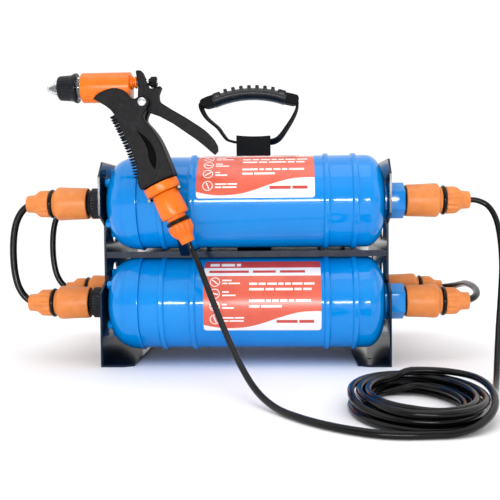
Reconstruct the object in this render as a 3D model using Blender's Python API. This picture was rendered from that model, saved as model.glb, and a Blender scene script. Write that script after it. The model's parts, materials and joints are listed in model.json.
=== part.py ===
"""Four-cartridge water purifying unit on a steel stand, with its hoses, carrying handle and spray gun.

Millimetres in the values below, metres in the scene.  +X runs along the cartridges, -Y is the front, +Z
is up.  The origin is on the floor, under the middle of the stand and of the rest that holds the gun in front of it.
Places below are counted from the middle of the stand, and add_object moves them to that origin.
"""

import math

import bmesh
import bpy
from mathutils import Matrix, Vector

MM = 0.001
GAP = 0.4  # between two pieces that touch
SLIDE_GAP = 0.4  # between two pieces that slide or turn on each other

# Cartridges
CARTRIDGE_RADIUS = 45.5
CARTRIDGE_HALF = 136.0  # from the middle to either end face
WALL = 2.5
RIB_HEIGHT = 2.0
RIB_WIDTH = 6.4
RIBS_AT = (-80.0, -50.0, 79.0, 106.0)
SHOULDER = 14.0  # how far the rounded ends reach in
CAP_SKIRT = 14.0
RIB_RADIUS = CARTRIDGE_RADIUS + RIB_HEIGHT
ROW_PITCH = 132.0  # front row to rear row
TIER_PITCH = 100.0  # lower tier to upper tier
LOWER_AXIS = 59.0  # lower cartridges' axis above the floor
PORT_BORE = 6.5
NECK_RADIUS = 12.5
HEX_FLATS = 31.0
HEX_LENGTH = 16.0

# Stand
SHEET = 2.0
SHELF_SHEET = 1.6
LOBE_DEPTH = 103.0  # half the depth of the end plates at the ports
WAIST_DEPTH = 81.0  # and between them
PLATE_HEIGHT = 199.0
FOOT_WIDTH = 32.0
FOOT_HOLE_RADIUS = 2.5
LIGHTENING_RADIUS = 12.0
LIGHTENING_AT = (40.0, 22.0)  # from the middle of the plate, across and up
SHELF_LIP = 6.0

# Quick connectors, measured outwards from the end of the adaptor
NIPPLE_RADIUS = 8.5
NIPPLE_LENGTH = 24.0
NIPPLE_BORE = 5.0
ADAPTOR_RADIUS = 15.5
ADAPTOR_LENGTH = 17.0
FLANGE = 1.2
CORE_RADIUS = 12.8
COLLAR_LENGTH = 32.0
COLLAR_RADIUS = CORE_RADIUS + 4.2
COLLAR_TRAVEL = 2.4
RING_WIDTH = 4.6
NUT_LENGTH = 23.0
NUT_RADIUS = CORE_RADIUS + 0.5
NUT_TIP_RADIUS = 8.6
HOSE_BORE = 4.0
MOUTH_RADIUS = 7.5
MOUTH_DEPTH = 8.0

# Hoses
JUMPER_DIAMETER = 7.0
HOSE_DIAMETER = 5.5
COIL_CENTRE = (137.0, -262.0)
COIL_OUTER = (53.0, 68.0)  # half its width and half its depth
COIL_BUNDLE = (18.0, 15.6)  # across and up

# Carrying handle
HANDLE_X = 5.0
HANDLE_PIVOT = 225.0
GRIP_RADIUS = 6.4
GRIP_HALF = 39.0
GRIP_RISE = 6.0
GRIP_HEIGHT = 46.0  # of its ends above the pivot
STRAP_WIDTH = 20.0
STRAP_BASE = 8.0  # its width where it runs gathered through the band
STRAP_THICKNESS = 2.2
BAND_WIDTH = 37.0
BAND_THICKNESS = 1.6
BAND_HALF = 6.5  # half the distance between its two runs

# Spray gun, about the trigger pin
GUN_PIN = (-88.0, 248.4)
GUN_HALF = 14.6  # half its thickness
GUN_STANDOFF = 2.9  # between the gun and the cartridges' ribs
GUN_TILT = math.radians(25.0)
BARREL_RADIUS = 13.6
BARREL_HEIGHT = 15.3
BARREL_FROM, BARREL_TO = -56.9, -12.0
STEM_HEIGHT = 19.6
STEM_RADIUS = 2.0
PIN_RADIUS = 2.0
LEVER_HALF = 5.0
INLET_AT = (12.9, -72.5)
INLET_FLANGE_RADIUS = 16.5
INLET_FLANGE = 9.0
GUN_NIPPLE_RADIUS = 6.0
GUN_COLLAR_RADIUS = 13.2
GUN_COLLAR_TRAVEL = 2.0
GUN_TAIL_END = 60.0
REST_SHEET = 2.5
REST_REACH = 6.0  # of the fork's ends in front of the gun's axis

# Places that follow from the sizes
UPPER_AXIS = LOWER_AXIS + TIER_PITCH
MIDDLE = LOWER_AXIS + TIER_PITCH / 2
PLATE_INSIDE = CARTRIDGE_HALF + 2.0
PLATE_OUTSIDE = PLATE_INSIDE + SHEET
HEX_END = PLATE_OUTSIDE + HEX_LENGTH + GAP / 2
ADAPTOR_END = HEX_END + GAP + FLANGE  # the same on both sides
COLLAR_START = ADAPTOR_END + GAP
COLLAR_END = COLLAR_START + COLLAR_LENGTH
RING_START = COLLAR_END + COLLAR_TRAVEL + GAP
NUT_START = RING_START + RING_WIDTH
NUT_END = NUT_START + NUT_LENGTH
SHELF_TOP = UPPER_AXIS - RIB_RADIUS - 0.7
GUN_Y = -(ROW_PITCH / 2 + RIB_RADIUS + GUN_STANDOFF + GUN_HALF)
MIDDLE_OF_DEPTH = Vector((0.0, (REST_REACH - GUN_Y - ROW_PITCH / 2 - RIB_RADIUS) / 2, 0.0))
CARTRIDGES = {
    "upper_front": (-1, UPPER_AXIS),
    "lower_front": (-1, LOWER_AXIS),
    "upper_rear": (1, UPPER_AXIS),
    "lower_rear": (1, LOWER_AXIS),
}

COLOURS = {
    "blue_plastic": ((0.0, 0.22, 0.83), 0.3, 0.0),
    "orange_plastic": ((0.9, 0.2, 0.03), 0.4, 0.0),
    "black_plastic": ((0.015, 0.015, 0.018), 0.45, 0.0),
    "clear_plastic": ((0.8, 0.85, 0.86), 0.1, 0.0),
    "painted_steel": ((0.012, 0.014, 0.022), 0.3, 0.3),
    "steel": ((0.7, 0.7, 0.72), 0.3, 1.0),
    "resin_beads": ((0.45, 0.25, 0.08), 0.7, 0.0),
    "webbing": ((0.02, 0.02, 0.02), 0.85, 0.0),
    "hose_plastic": ((0.01, 0.01, 0.012), 0.25, 0.0),
}


def clear_scene():
    for old in list(bpy.data.objects):
        bpy.data.objects.remove(old, do_unlink=True)


def material(name):
    if name in bpy.data.materials:
        return bpy.data.materials[name]
    colour, roughness, metallic = COLOURS[name]
    made = bpy.data.materials.new(name)
    made.use_nodes = True
    shader = made.node_tree.nodes["Principled BSDF"]
    shader.inputs["Base Color"].default_value = (*colour, 1.0)
    shader.inputs["Roughness"].default_value = roughness
    shader.inputs["Metallic"].default_value = metallic
    return made


def add_object(name, data, finish=None, at=(0.0, 0.0, 0.0), turn=None):
    """Links data as an object, at a place in millimetres, turned by a matrix."""
    made = bpy.data.objects.new(name, data)
    bpy.context.scene.collection.objects.link(made)
    turn = (turn or Matrix.Identity(3)).to_4x4()
    made.matrix_world = Matrix.Translation((Vector(at) + MIDDLE_OF_DEPTH) * MM) @ turn
    if finish:
        data.materials.clear()
        data.materials.append(material(finish))
    return made


def mesh_from(bm, name, smooth=True):
    bmesh.ops.remove_doubles(bm, verts=bm.verts, dist=1e-7)
    bmesh.ops.recalc_face_normals(bm, faces=bm.faces)
    mesh = bpy.data.meshes.new(name)
    bm.to_mesh(mesh)
    bm.free()
    if smooth:
        mesh.shade_smooth()
        mesh.set_sharp_from_angle(angle=math.radians(30))
    return mesh


def turned(name, profile, sides):
    """A body turned about its own X axis, from (along, radius) points.  A profile that starts and ends on
    the axis stays open, and any other closes on itself."""
    bm = bmesh.new()
    points = [bm.verts.new((x * MM, 0.0, r * MM)) for x, r in profile]
    solid = profile[0][1] == 0.0 and profile[-1][1] == 0.0
    ends = list(zip(points, points[1:]))
    if not solid:
        ends.append((points[-1], points[0]))
    edges = [bm.edges.new(pair) for pair in ends]
    bmesh.ops.spin(
        bm, geom=points + edges, cent=(0, 0, 0), axis=(1, 0, 0),
        angle=2 * math.pi, steps=sides, use_merge=True,
    )
    return mesh_from(bm, name)


def extruded(name, outline, depth, across="Y", start=None, smooth=False):
    """A closed outline pulled along an axis by depth, from start or from half the depth either side."""
    start = -depth / 2 if start is None else start
    bm = bmesh.new()
    places = {
        "X": lambda a, b: (start, a, b),
        "Y": lambda a, b: (a, start, b),
        "Z": lambda a, b: (a, b, start),
    }
    axis = Vector((across == "X", across == "Y", across == "Z"))
    face = bm.faces.new([bm.verts.new(Vector(places[across](a, b)) * MM) for a, b in outline])
    grown = bmesh.ops.extrude_face_region(bm, geom=[face])["geom"]
    moved = [v for v in grown if isinstance(v, bmesh.types.BMVert)]
    bmesh.ops.translate(bm, verts=moved, vec=axis * depth * MM)
    return mesh_from(bm, name, smooth)


def block(low, high):
    """A box mesh between two corners."""
    outline = [(low[0], low[1]), (high[0], low[1]), (high[0], high[1]), (low[0], high[1])]
    return extruded("block", outline, high[2] - low[2], "Z", low[2])


def rod(radius, start, end, sides=16):
    return turned("rod", [(start, 0.0), (start, radius), (end, radius), (end, 0.0)], sides)


def arc(centre, radius, first, last, steps):
    """Points of an arc, angles in degrees."""
    turn = [math.radians(first + (last - first) * i / steps) for i in range(steps + 1)]
    return [(centre[0] + radius * math.cos(t), centre[1] + radius * math.sin(t)) for t in turn]


def combine(target, operation, mesh, at=(0.0, 0.0, 0.0), turn=None):
    """Cuts a mesh out of target, or joins it on, with a Boolean whose tool stays hidden."""
    tool = add_object(target.name + "_tool", mesh, at=at, turn=turn)
    tool.hide_render = True
    tool.display_type = "WIRE"
    modifier = target.modifiers.new(operation.lower(), "BOOLEAN")
    modifier.operation = operation
    modifier.solver = "EXACT"
    modifier.object = tool
    return tool


def turn_to(axis):
    """The rotation that takes +X to the axis."""
    return Vector((1, 0, 0)).rotation_difference(Vector(axis)).to_matrix()


def smooth_route(points, spacing):
    """Places a fixed distance apart on a smooth curve through the points."""
    knots = [Vector(p) for p in points]
    knots = [knots[0] * 2 - knots[1]] + knots + [knots[-1] * 2 - knots[-2]]
    fine = []
    for a, b, c, d in zip(knots, knots[1:], knots[2:], knots[3:]):
        for i in range(12):
            t = i / 12
            fine.append(0.5 * (2 * b + (c - a) * t + (2 * a - 5 * b + 4 * c - d) * t * t
                               + (3 * b - a - 3 * c + d) * t ** 3))
    fine.append(knots[-2])
    length = sum((q - p).length for p, q in zip(fine, fine[1:]))
    count = max(2, round(length / spacing))
    step, travelled, places = length / count, 0.0, [fine[0]]
    for p, q in zip(fine, fine[1:]):
        part = (q - p).length
        while part and len(places) < count and travelled + part >= step * len(places):
            places.append(p.lerp(q, (step * len(places) - travelled) / part))
        travelled += part
    return places + [fine[-1]]


def tube(name, route, diameter, finish, spacing=2.4):
    curve = bpy.data.curves.new(name, "CURVE")
    curve.dimensions = "3D"
    curve.bevel_depth = diameter / 2 * MM
    curve.bevel_resolution = 2
    curve.use_fill_caps = True
    places = smooth_route(route, diameter * spacing)
    spline = curve.splines.new("POLY")
    spline.points.add(len(places) - 1)
    for point, place in zip(spline.points, places):
        point.co = (*(place * MM), 1.0)
    return add_object(name, curve, finish)


def end_plate(name, side):
    """Side plate with four port holes, four lightening holes and a foot turned inwards."""
    lobe, waist, top = LOBE_DEPTH, WAIST_DEPTH, PLATE_HEIGHT
    slope, corner = 10.0, 15.0
    low, high = MIDDLE - 27.0, MIDDLE + 28.0  # ends of the waist
    front = [(lobe, 0.0), (lobe, low - slope), (waist, low), (waist, high), (lobe, high + slope),
             (lobe, top - corner), (lobe - corner, top)]
    outline = front + [(-y, z) for y, z in reversed(front)]
    start = PLATE_INSIDE if side > 0 else -PLATE_OUTSIDE
    plate = add_object(name, extruded(name, outline, SHEET, "X", start), "painted_steel")

    inner = PLATE_INSIDE - FOOT_WIDTH + SHEET
    foot = [(PLATE_INSIDE + SHEET / 2, -lobe), (inner + 10.0, -lobe), (inner, -lobe + 5.0),
            (inner, lobe - 5.0), (inner + 10.0, lobe), (PLATE_INSIDE + SHEET / 2, lobe)]
    combine(plate, "UNION", extruded("foot", [(side * x, y) for x, y in foot], SHEET, "Z", 0.0))

    port = NECK_RADIUS + 0.7 if side < 0 else HEX_FLATS / math.sqrt(3) + 1.0
    wide = 4 * SHEET
    drill = bmesh.new()
    across, up = LIGHTENING_AT
    holes = [(row * ROW_PITCH / 2, z, port, 20) for row, z in CARTRIDGES.values()]
    holes += [(row * across, MIDDLE + tier * up, LIGHTENING_RADIUS, 16) for row in (-1, 1)
              for tier in (-1, 1)]
    for y, z, radius, sides in holes:
        place = Matrix.Translation(Vector((side * PLATE_INSIDE, y, z)) * MM)
        place = place @ Matrix.Rotation(math.pi / 2, 4, "Y")
        bmesh.ops.create_cone(
            drill, cap_ends=True, segments=sides, radius1=radius * MM, radius2=radius * MM,
            depth=wide * MM, matrix=place,
        )
    for y in (-70.0, 70.0):
        place = Matrix.Translation(Vector((side * (PLATE_INSIDE - FOOT_WIDTH / 2), y, 0)) * MM)
        bmesh.ops.create_cone(
            drill, cap_ends=True, segments=10, radius1=FOOT_HOLE_RADIUS * MM,
            radius2=FOOT_HOLE_RADIUS * MM, depth=wide * MM, matrix=place,
        )
    combine(plate, "DIFFERENCE", mesh_from(drill, "plate_holes", smooth=False))
    return plate


def gun_axes():
    """The gun's hose end as a matrix: its X runs out of the gun, its Y runs back."""
    out = Vector((math.sin(GUN_TILT), 0.0, -math.cos(GUN_TILT)))
    back = Vector((0.0, 1.0, 0.0))
    return Matrix((out, back, out.cross(back))).transposed()


def gun_place(x=0.0, z=0.0):
    return (GUN_PIN[0] + x, GUN_Y, GUN_PIN[1] + z)


def mid_shelf():
    """Shelf with turned-down lips and two rows of slots, and the rest welded on for the gun."""
    edge, lip = WAIST_DEPTH, SHELF_LIP
    under = SHELF_TOP - SHELF_SHEET
    outline = [(-edge, SHELF_TOP), (-edge, SHELF_TOP - lip), (-edge + SHELF_SHEET, SHELF_TOP - lip),
               (-edge + SHELF_SHEET, under), (edge - SHELF_SHEET, under),
               (edge - SHELF_SHEET, SHELF_TOP - lip), (edge, SHELF_TOP - lip), (edge, SHELF_TOP)]
    shelf = add_object("mid_shelf", extruded("mid_shelf", outline, 2 * (PLATE_INSIDE - GAP), "X"),
        "painted_steel")

    slots = bmesh.new()
    slot_length, slot_width, pitch = 17.0, 5.0, 28.0
    for row in (-1, 1):
        for step in range(-4, 5):
            length, y = slot_length, 22.0
            if step == 0:  # the handle's band runs through the middle pair
                length, y = BAND_WIDTH + 3.0, BAND_HALF + BAND_THICKNESS / 2
            place = Matrix.Translation(Vector((HANDLE_X * (step == 0) + step * pitch, row * y,
                SHELF_TOP)) * MM)
            bmesh.ops.create_cube(
                slots, size=1.0,
                matrix=place @ Matrix.Diagonal((length * MM, slot_width * MM, 6 * SHELF_SHEET * MM, 1.0)),
            )
    combine(shelf, "DIFFERENCE", mesh_from(slots, "shelf_slots", smooth=False))

    collar_gap = GUN_COLLAR_RADIUS + 0.7
    outer, reach = INLET_FLANGE_RADIUS, REST_REACH
    fork = [(-reach, outer)] + arc((0, 0), outer, 90, -90, 10) + [(-reach, -outer), (-reach, -collar_gap)]
    fork += arc((0, 0), collar_gap, -90, 90, 10) + [(-reach, collar_gap)]
    start = INLET_FLANGE + GAP
    hold = dict(at=gun_place(*INLET_AT), turn=gun_axes())
    combine(shelf, "UNION", extruded("rest_fork", fork, REST_SHEET, "X", start), **hold)
    stem_back = outer - 0.8
    side, width, down = 1.0, 9.0, 47.0
    stem = [(stem_back - 2.0, -width + side), (stem_back, -width + side), (stem_back, side),
        (stem_back - 2.0, side)]
    combine(shelf, "UNION", extruded("rest_stem", stem, down - start - 0.6, "X", start + 0.6), **hold)

    foot = Vector(gun_place(*INLET_AT)) + gun_axes() @ Vector((down - 2.0, stem_back - 1.0,
        side - width / 2))
    tongue = [(foot.y - 1.0, foot.z + 1.0), (foot.y - 1.0, foot.z - 2.6),
        (-edge + 0.6, SHELF_TOP - lip + 1.2),
              (-edge + 0.6, SHELF_TOP - 1.2), (foot.y + 1.2, foot.z + 1.0)]
    combine(shelf, "UNION", extruded("rest_tongue", tongue, width, "X"), at=(foot.x, 0.0, 0.0))
    return shelf


def cartridge_meshes():
    """The shell, end cap and resin bed that all four cartridges share."""
    radius, inside, half = CARTRIDGE_RADIUS, CARTRIDGE_RADIUS - WALL, CARTRIDGE_HALF
    cap_start = -half + SHOULDER + 4.5  # where the cap's skirt starts
    shell_end = cap_start + 1.0
    outer = [(shell_end, radius)]
    for at in RIBS_AT:
        edge, top = RIB_WIDTH / 2, RIB_WIDTH / 2 - 0.8
        outer += [(at - edge, radius), (at - top, RIB_RADIUS), (at + top, RIB_RADIUS), (at + edge, radius)]
    neck = HEX_FLATS / 2 - 0.5
    outer += [(half - SHOULDER, radius), (half - SHOULDER / 3, radius - SHOULDER / 4),
        (half, radius - SHOULDER),
              (half, neck), (HEX_END - 1.0, neck), (HEX_END - 1.0, PORT_BORE)]
    inner = [(half - WALL, PORT_BORE), (half - WALL, radius - SHOULDER - WALL),
             (half - SHOULDER - 1.0, inside), (shell_end, inside)]
    shell = turned("cartridge_shell", outer + inner, 20)

    skirt_inside = radius + GAP
    cap = turned("cartridge_cap", [
        (cap_start + CAP_SKIRT, RIB_RADIUS), (cap_start, RIB_RADIUS), (cap_start - 4.0, radius - 1.0),
        (-half + 7.5, radius - 7.0), (-half + 2.5, radius - 16.0), (-half, radius - 26.0),
        (-half, NECK_RADIUS),
        (-half - 14.0, NECK_RADIUS), (-half - 14.0, PORT_BORE), (-half + WALL, PORT_BORE),
        (-half + WALL, radius - 25.0), (cap_start - 4.0, inside - 1.0), (cap_start + 0.4, inside - 1.0),
        (cap_start + 0.4, skirt_inside), (cap_start + CAP_SKIRT, skirt_inside),
    ], 20)
    bed = rod(inside - GAP, shell_end + 4.0, half - SHOULDER - 3.0, 20)
    return shell, cap, bed


def connector_meshes():
    """Adaptors, collar and tail of a quick connector, all running out along +X."""
    left_adaptor = turned("left_adaptor", [
        (PLATE_OUTSIDE + GAP, ADAPTOR_RADIUS), (ADAPTOR_END - 1.5, ADAPTOR_RADIUS),
        (ADAPTOR_END, ADAPTOR_RADIUS - 2.0),
        (ADAPTOR_END, NIPPLE_RADIUS), (ADAPTOR_END + NIPPLE_LENGTH, NIPPLE_RADIUS),
        (ADAPTOR_END + NIPPLE_LENGTH, NIPPLE_BORE), (CARTRIDGE_HALF + 14.0 + GAP, NIPPLE_BORE),
        (CARTRIDGE_HALF + 14.0 + GAP, NECK_RADIUS + GAP), (PLATE_OUTSIDE + GAP, NECK_RADIUS + GAP),
    ], 16)
    right_adaptor = turned("right_adaptor", [
        (HEX_END - 12.0, PORT_BORE - GAP), (HEX_END + GAP, PORT_BORE - GAP),
        (HEX_END + GAP, ADAPTOR_RADIUS - 1.0),
        (ADAPTOR_END, ADAPTOR_RADIUS - 1.0), (ADAPTOR_END, NIPPLE_RADIUS),
        (ADAPTOR_END + NIPPLE_LENGTH, NIPPLE_RADIUS),
        (ADAPTOR_END + NIPPLE_LENGTH, NIPPLE_BORE), (HEX_END - 12.0, NIPPLE_BORE),
    ], 16)
    collar = turned("collar", [
        (COLLAR_START, COLLAR_RADIUS - 0.8), (COLLAR_START + 2.0, COLLAR_RADIUS),
        (COLLAR_END - 5.0, COLLAR_RADIUS - 0.5),
        (COLLAR_END, COLLAR_RADIUS - 1.6), (COLLAR_END, CORE_RADIUS + SLIDE_GAP),
        (COLLAR_START, CORE_RADIUS + SLIDE_GAP),
    ], 16)
    core_end = ADAPTOR_END + NIPPLE_LENGTH + 1.0
    tail = turned("tail", [
        (COLLAR_START + 1.0, CORE_RADIUS), (RING_START, CORE_RADIUS), (RING_START, CORE_RADIUS - 1.3),
        (NUT_START, CORE_RADIUS - 1.3), (NUT_START, NUT_RADIUS), (NUT_START + 9.0, NUT_RADIUS),
        (NUT_START + 14.5, NUT_TIP_RADIUS + 0.8), (NUT_END, NUT_TIP_RADIUS), (NUT_END, MOUTH_RADIUS),
        (NUT_END - MOUTH_DEPTH, MOUTH_RADIUS), (NUT_END - MOUTH_DEPTH, HOSE_BORE), (core_end, HOSE_BORE),
        (core_end, NIPPLE_RADIUS + GAP), (COLLAR_START + 1.0, NIPPLE_RADIUS + GAP),
    ], 16)
    return {"left": left_adaptor, "right": right_adaptor}, collar, tail


def cartridges_and_connectors():
    shell, cap, bed = cartridge_meshes()
    adaptors, collar, tail = connector_meshes()
    mirror = Matrix.Rotation(math.pi, 3, "Z")
    for name, (row, axis) in CARTRIDGES.items():
        at = (0.0, row * ROW_PITCH / 2, axis)
        body = add_object(name + "_shell", shell, "blue_plastic", at)
        hexagon = [(HEX_FLATS / math.sqrt(3) * math.cos(math.radians(60 * i)),
                    HEX_FLATS / math.sqrt(3) * math.sin(math.radians(60 * i))) for i in range(6)]
        length = HEX_END - CARTRIDGE_HALF + 1.0
        combine(body, "UNION", extruded("hex", hexagon, length, "X", CARTRIDGE_HALF - 1.0), at)
        combine(body, "DIFFERENCE", rod(PORT_BORE, CARTRIDGE_HALF - WALL - 4.0, HEX_END + 4.0, 20), at)
        add_object(name + "_end_cap", cap, "blue_plastic", at)
        add_object(name + "_resin_bed", bed, "resin_beads", at)
        for side, turn in (("left", mirror), ("right", None)):
            add_object(f"{name}_{side}_adaptor", adaptors[side], "black_plastic", at, turn)
            add_object(f"{name}_{side}_collar", collar, "orange_plastic", at, turn)
            add_object(f"{name}_{side}_tail", tail, "orange_plastic", at, turn)


def hoses():
    row, tip = ROW_PITCH / 2, NUT_END
    start = tip - MOUTH_DEPTH - 8.0
    # Half of the bend between two ports that lie TIER_PITCH or ROW_PITCH apart: out along X, then across.
    half = [(start, 0.0), (start + 7.0, 0.0), (tip - 4.5, 0.4), (tip + 1.0, 2.6), (tip + 7.2, 8.4),
            (tip + 12.4, 18.5), (tip + 15.4, 33.0)]
    reach = tip + 16.3
    for name, side in (("front_jumper", -1), ("rear_jumper", 1)):
        down = [(-x, side * row, UPPER_AXIS - z) for x, z in half]
        up = [(-x, side * row, LOWER_AXIS + z) for x, z in reversed(half)]
        tube(name, down + [(-reach, side * row, MIDDLE)] + up, JUMPER_DIAMETER, "hose_plastic", 1.6)
    rise = [0.0, 0.0, 0.2, 1.0, 2.4, 4.6, 7.4]
    out = [(x, -row + y, LOWER_AXIS + r) for (x, y), r in zip(half, rise)]
    back = [(x, -y, z) for x, y, z in reversed(out)]
    wide = [(reach, -14.0, LOWER_AXIS + 9.6), (reach, 14.0, LOWER_AXIS + 9.6)]
    tube("lower_jumper", out + wide + back, JUMPER_DIAMETER, "hose_plastic", 1.6)

    to_coil = [(start, -row, UPPER_AXIS), (start + 8.0, -row, UPPER_AXIS), (tip, -row, UPPER_AXIS),
               (tip + 8.0, -row - 0.5, UPPER_AXIS - 0.8), (tip + 17.5, -row - 3.0, UPPER_AXIS - 6.0),
               (tip + 23.5, -row - 9.0, UPPER_AXIS - 18.0), (246.0, -84.0, 122.0), (244.0, -98.0, 98.0),
               (238.5, -115.0, 72.0), (231.0, -136.0, 46.0), (223.0, -161.0, 23.0), (215.5, -186.0, 8.5),
               (208.5, -208.0, 3.3), (201.5, -226.0, 3.1), (196.5, -240.0, 3.1), (194.0, -252.0, 3.1)]
    tube("hose_to_coil", to_coil, HOSE_DIAMETER, "hose_plastic")

    across, up = COIL_BUNDLE
    sides = [math.radians(45 * i + 22.5) for i in range(8)]
    grow = 1 / math.cos(math.radians(22.5))
    middle = COIL_OUTER[0] - across / 2
    ring = turned("hose_coil", [(up / 2 * grow * math.sin(a),
        middle + across / 2 * grow * math.cos(a)) for a in sides], 24)
    ring.transform(Matrix.Diagonal((1.0, 1.0, COIL_OUTER[1] / COIL_OUTER[0], 1.0)))
    upright = Matrix(((0, 1, 0), (0, 0, 1), (1, 0, 0)))
    add_object("hose_coil", ring, "hose_plastic", (*COIL_CENTRE, up / 2 * grow + 0.3), upright)

    out = gun_axes() @ Vector((1, 0, 0))
    end = Vector(gun_place(*INLET_AT))
    to_gun = [tuple(end + out * d) for d in (50.0, 56.0, 62.0, 68.0)]
    to_gun += [(-40.5, -137.0, 104.0), (-32.0, -148.5, 85.0), (-21.5, -167.0, 64.0), (-10.0, -190.0, 43.5),
               (2.5, -216.0, 24.5), (16.0, -243.0, 10.5), (31.0, -269.0, 4.0), (48.0, -293.0, 3.1),
               (69.0, -314.0, 3.1), (93.0, -329.0, 3.1), (116.0, -334.5, 3.1)]
    tube("hose_to_gun", to_gun, HOSE_DIAMETER, "hose_plastic")


def handle():
    """Moulded grip on a webbing loop, hung in a webbing band that goes round the shelf."""
    at = (HANDLE_X, 0.0, HANDLE_PIVOT)
    bend = (GRIP_HALF ** 2 + GRIP_RISE ** 2) / (2 * GRIP_RISE)
    spread = math.degrees(math.asin(GRIP_HALF / bend))
    centre = (0.0, GRIP_HEIGHT + GRIP_RISE - bend)
    outline = arc(centre, bend + GRIP_RADIUS, 90 + spread, 90 - spread, 10)
    outline += arc(centre, bend - GRIP_RADIUS, 90 - spread, 90 + spread, 10)
    grip = extruded("handle_grip", outline, STRAP_WIDTH + 4.0)
    grip = add_object("handle_grip", grip, "black_plastic", at)
    soft = grip.modifiers.new("round", "BEVEL")
    soft.width, soft.segments, soft.limit_method = 4.0 * MM, 2, "ANGLE"
    soft.angle_limit = math.radians(50)

    half = STRAP_THICKNESS / 2
    end = (BAND_WIDTH / 2 + 1.5, 0.0)
    line = [(GRIP_HALF + 1.2, GRIP_HEIGHT + 0.4), (47.5, GRIP_HEIGHT + 1.0), (51.5, GRIP_HEIGHT - 3.5),
            (51.5, 34.0), (45.0, 26.0), (31.0, 13.0), (26.0, 3.0), end]
    near, far = [], []
    for before, here, after in zip([line[0]] + line, line, line[1:] + [line[-1]]):
        along = Vector((after[0] - before[0], after[1] - before[1])).normalized() * half
        near.append((here[0] + along.y, here[1] - along.x))
        far.append((here[0] - along.y, here[1] + along.x))
    side = near + far[::-1]
    strap = add_object("handle_strap", extruded("handle_strap", side, STRAP_WIDTH), "webbing", at)
    other = [(-x, z) for x, z in side]
    combine(strap, "UNION", extruded("strap_other_side", other, STRAP_WIDTH), at)
    reach = end[0] + 1.2
    base = block((-reach, -STRAP_BASE / 2, -1.4), (reach, STRAP_BASE / 2, 1.4))
    combine(strap, "UNION", base, at)

    low, top = SHELF_TOP - SHELF_SHEET - 1.0, HANDLE_PIVOT + STRAP_BASE / 2 + 1.0
    inside, outside, wide = BAND_HALF, BAND_HALF + BAND_THICKNESS, BAND_WIDTH / 2
    band = block((-wide, -outside, low - BAND_THICKNESS), (wide, outside, top + BAND_THICKNESS))
    band = add_object("handle_band", band, "webbing", (HANDLE_X, 0.0, 0.0))
    combine(band, "DIFFERENCE", block((-wide - 1.0, -inside, low), (wide + 1.0, inside, top)),
        (HANDLE_X, 0.0, 0.0))


def gun_body():
    """Barrel, moulded grip and the pin that the trigger turns on."""
    cavity, wall = BARREL_RADIUS - 4.0, 4.0
    at, stem_at = gun_place(0.0, BARREL_HEIGHT), gun_place(0.0, STEM_HEIGHT)
    barrel = turned("gun_barrel", [
        (BARREL_TO, 0.0), (BARREL_TO, BARREL_RADIUS), (BARREL_FROM, BARREL_RADIUS), (BARREL_FROM, cavity),
        (BARREL_TO - wall, cavity), (BARREL_TO - wall, 0.0),
    ], 24)
    barrel = add_object("gun_barrel", barrel, "orange_plastic", at)
    combine(barrel, "UNION", rod(5.5, BARREL_TO - 1.0, BARREL_TO + 5.2), stem_at)
    combine(barrel, "DIFFERENCE", rod(STEM_RADIUS + GAP, BARREL_TO - wall - 3.0, BARREL_TO + 9.0), stem_at)

    foot = Vector((math.cos(GUN_TILT), math.sin(GUN_TILT))) * (INLET_FLANGE_RADIUS - 0.3)
    corners = [(INLET_AT[0] + s * foot.x, INLET_AT[1] + s * foot.y) for s in (1, -1)]
    outline = [(-44.4, 3.5), (-38.2, 9.0), (-31.2, 11.9), (-23.5, 12.9), (-17.5, 11.2), (-12.5, 7.5),
        (-8.9, 4.5),
               (-5.0, 5.9), (0.0, 6.9), (4.5, 4.8), (6.2, 0.0), (4.4, -5.0), (1.4, -10.0), (-0.3, -14.3),
               (10.8, -26.5), (17.5, -38.8), (22.4, -51.0), *corners, (-5.6, -66.9), (-11.3, -46.1),
               (-18.7, -29.0), (-27.3, -9.4), (-32.1, -3.8)]
    grip = add_object("gun_grip", extruded("gun_grip", outline, 2 * GUN_HALF), "black_plastic", gun_place())
    soft = grip.modifiers.new("round", "BEVEL")
    soft.width, soft.segments, soft.limit_method = 4.0 * MM, 2, "ANGLE"
    soft.angle_limit = math.radians(60)
    combine(grip, "DIFFERENCE", rod(BARREL_RADIUS + GAP, BARREL_FROM - 5.0, BARREL_TO + GAP, 24), at)
    side = LEVER_HALF + GAP
    combine(grip, "DIFFERENCE", block((-9.5, -side, -13.0), (12.0, side, 12.0)), gun_place())
    across = turn_to((0, 1, 0))
    combine(grip, "DIFFERENCE", rod(PIN_RADIUS + GAP, -GUN_HALF - 4.0, GUN_HALF + 4.0, 12),
        gun_place(), across)
    head = -GUN_HALF - GAP
    pin = turned("trigger_pin", [
        (head - 1.4, 0.0), (head - 1.4, 3.2), (head - 0.6, 4.0), (head, 4.0), (head, PIN_RADIUS),
        (GUN_HALF - 0.5, PIN_RADIUS), (GUN_HALF - 0.5, 0.0),
    ], 12)
    add_object("trigger_pin", pin, "steel", gun_place(), across)


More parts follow.
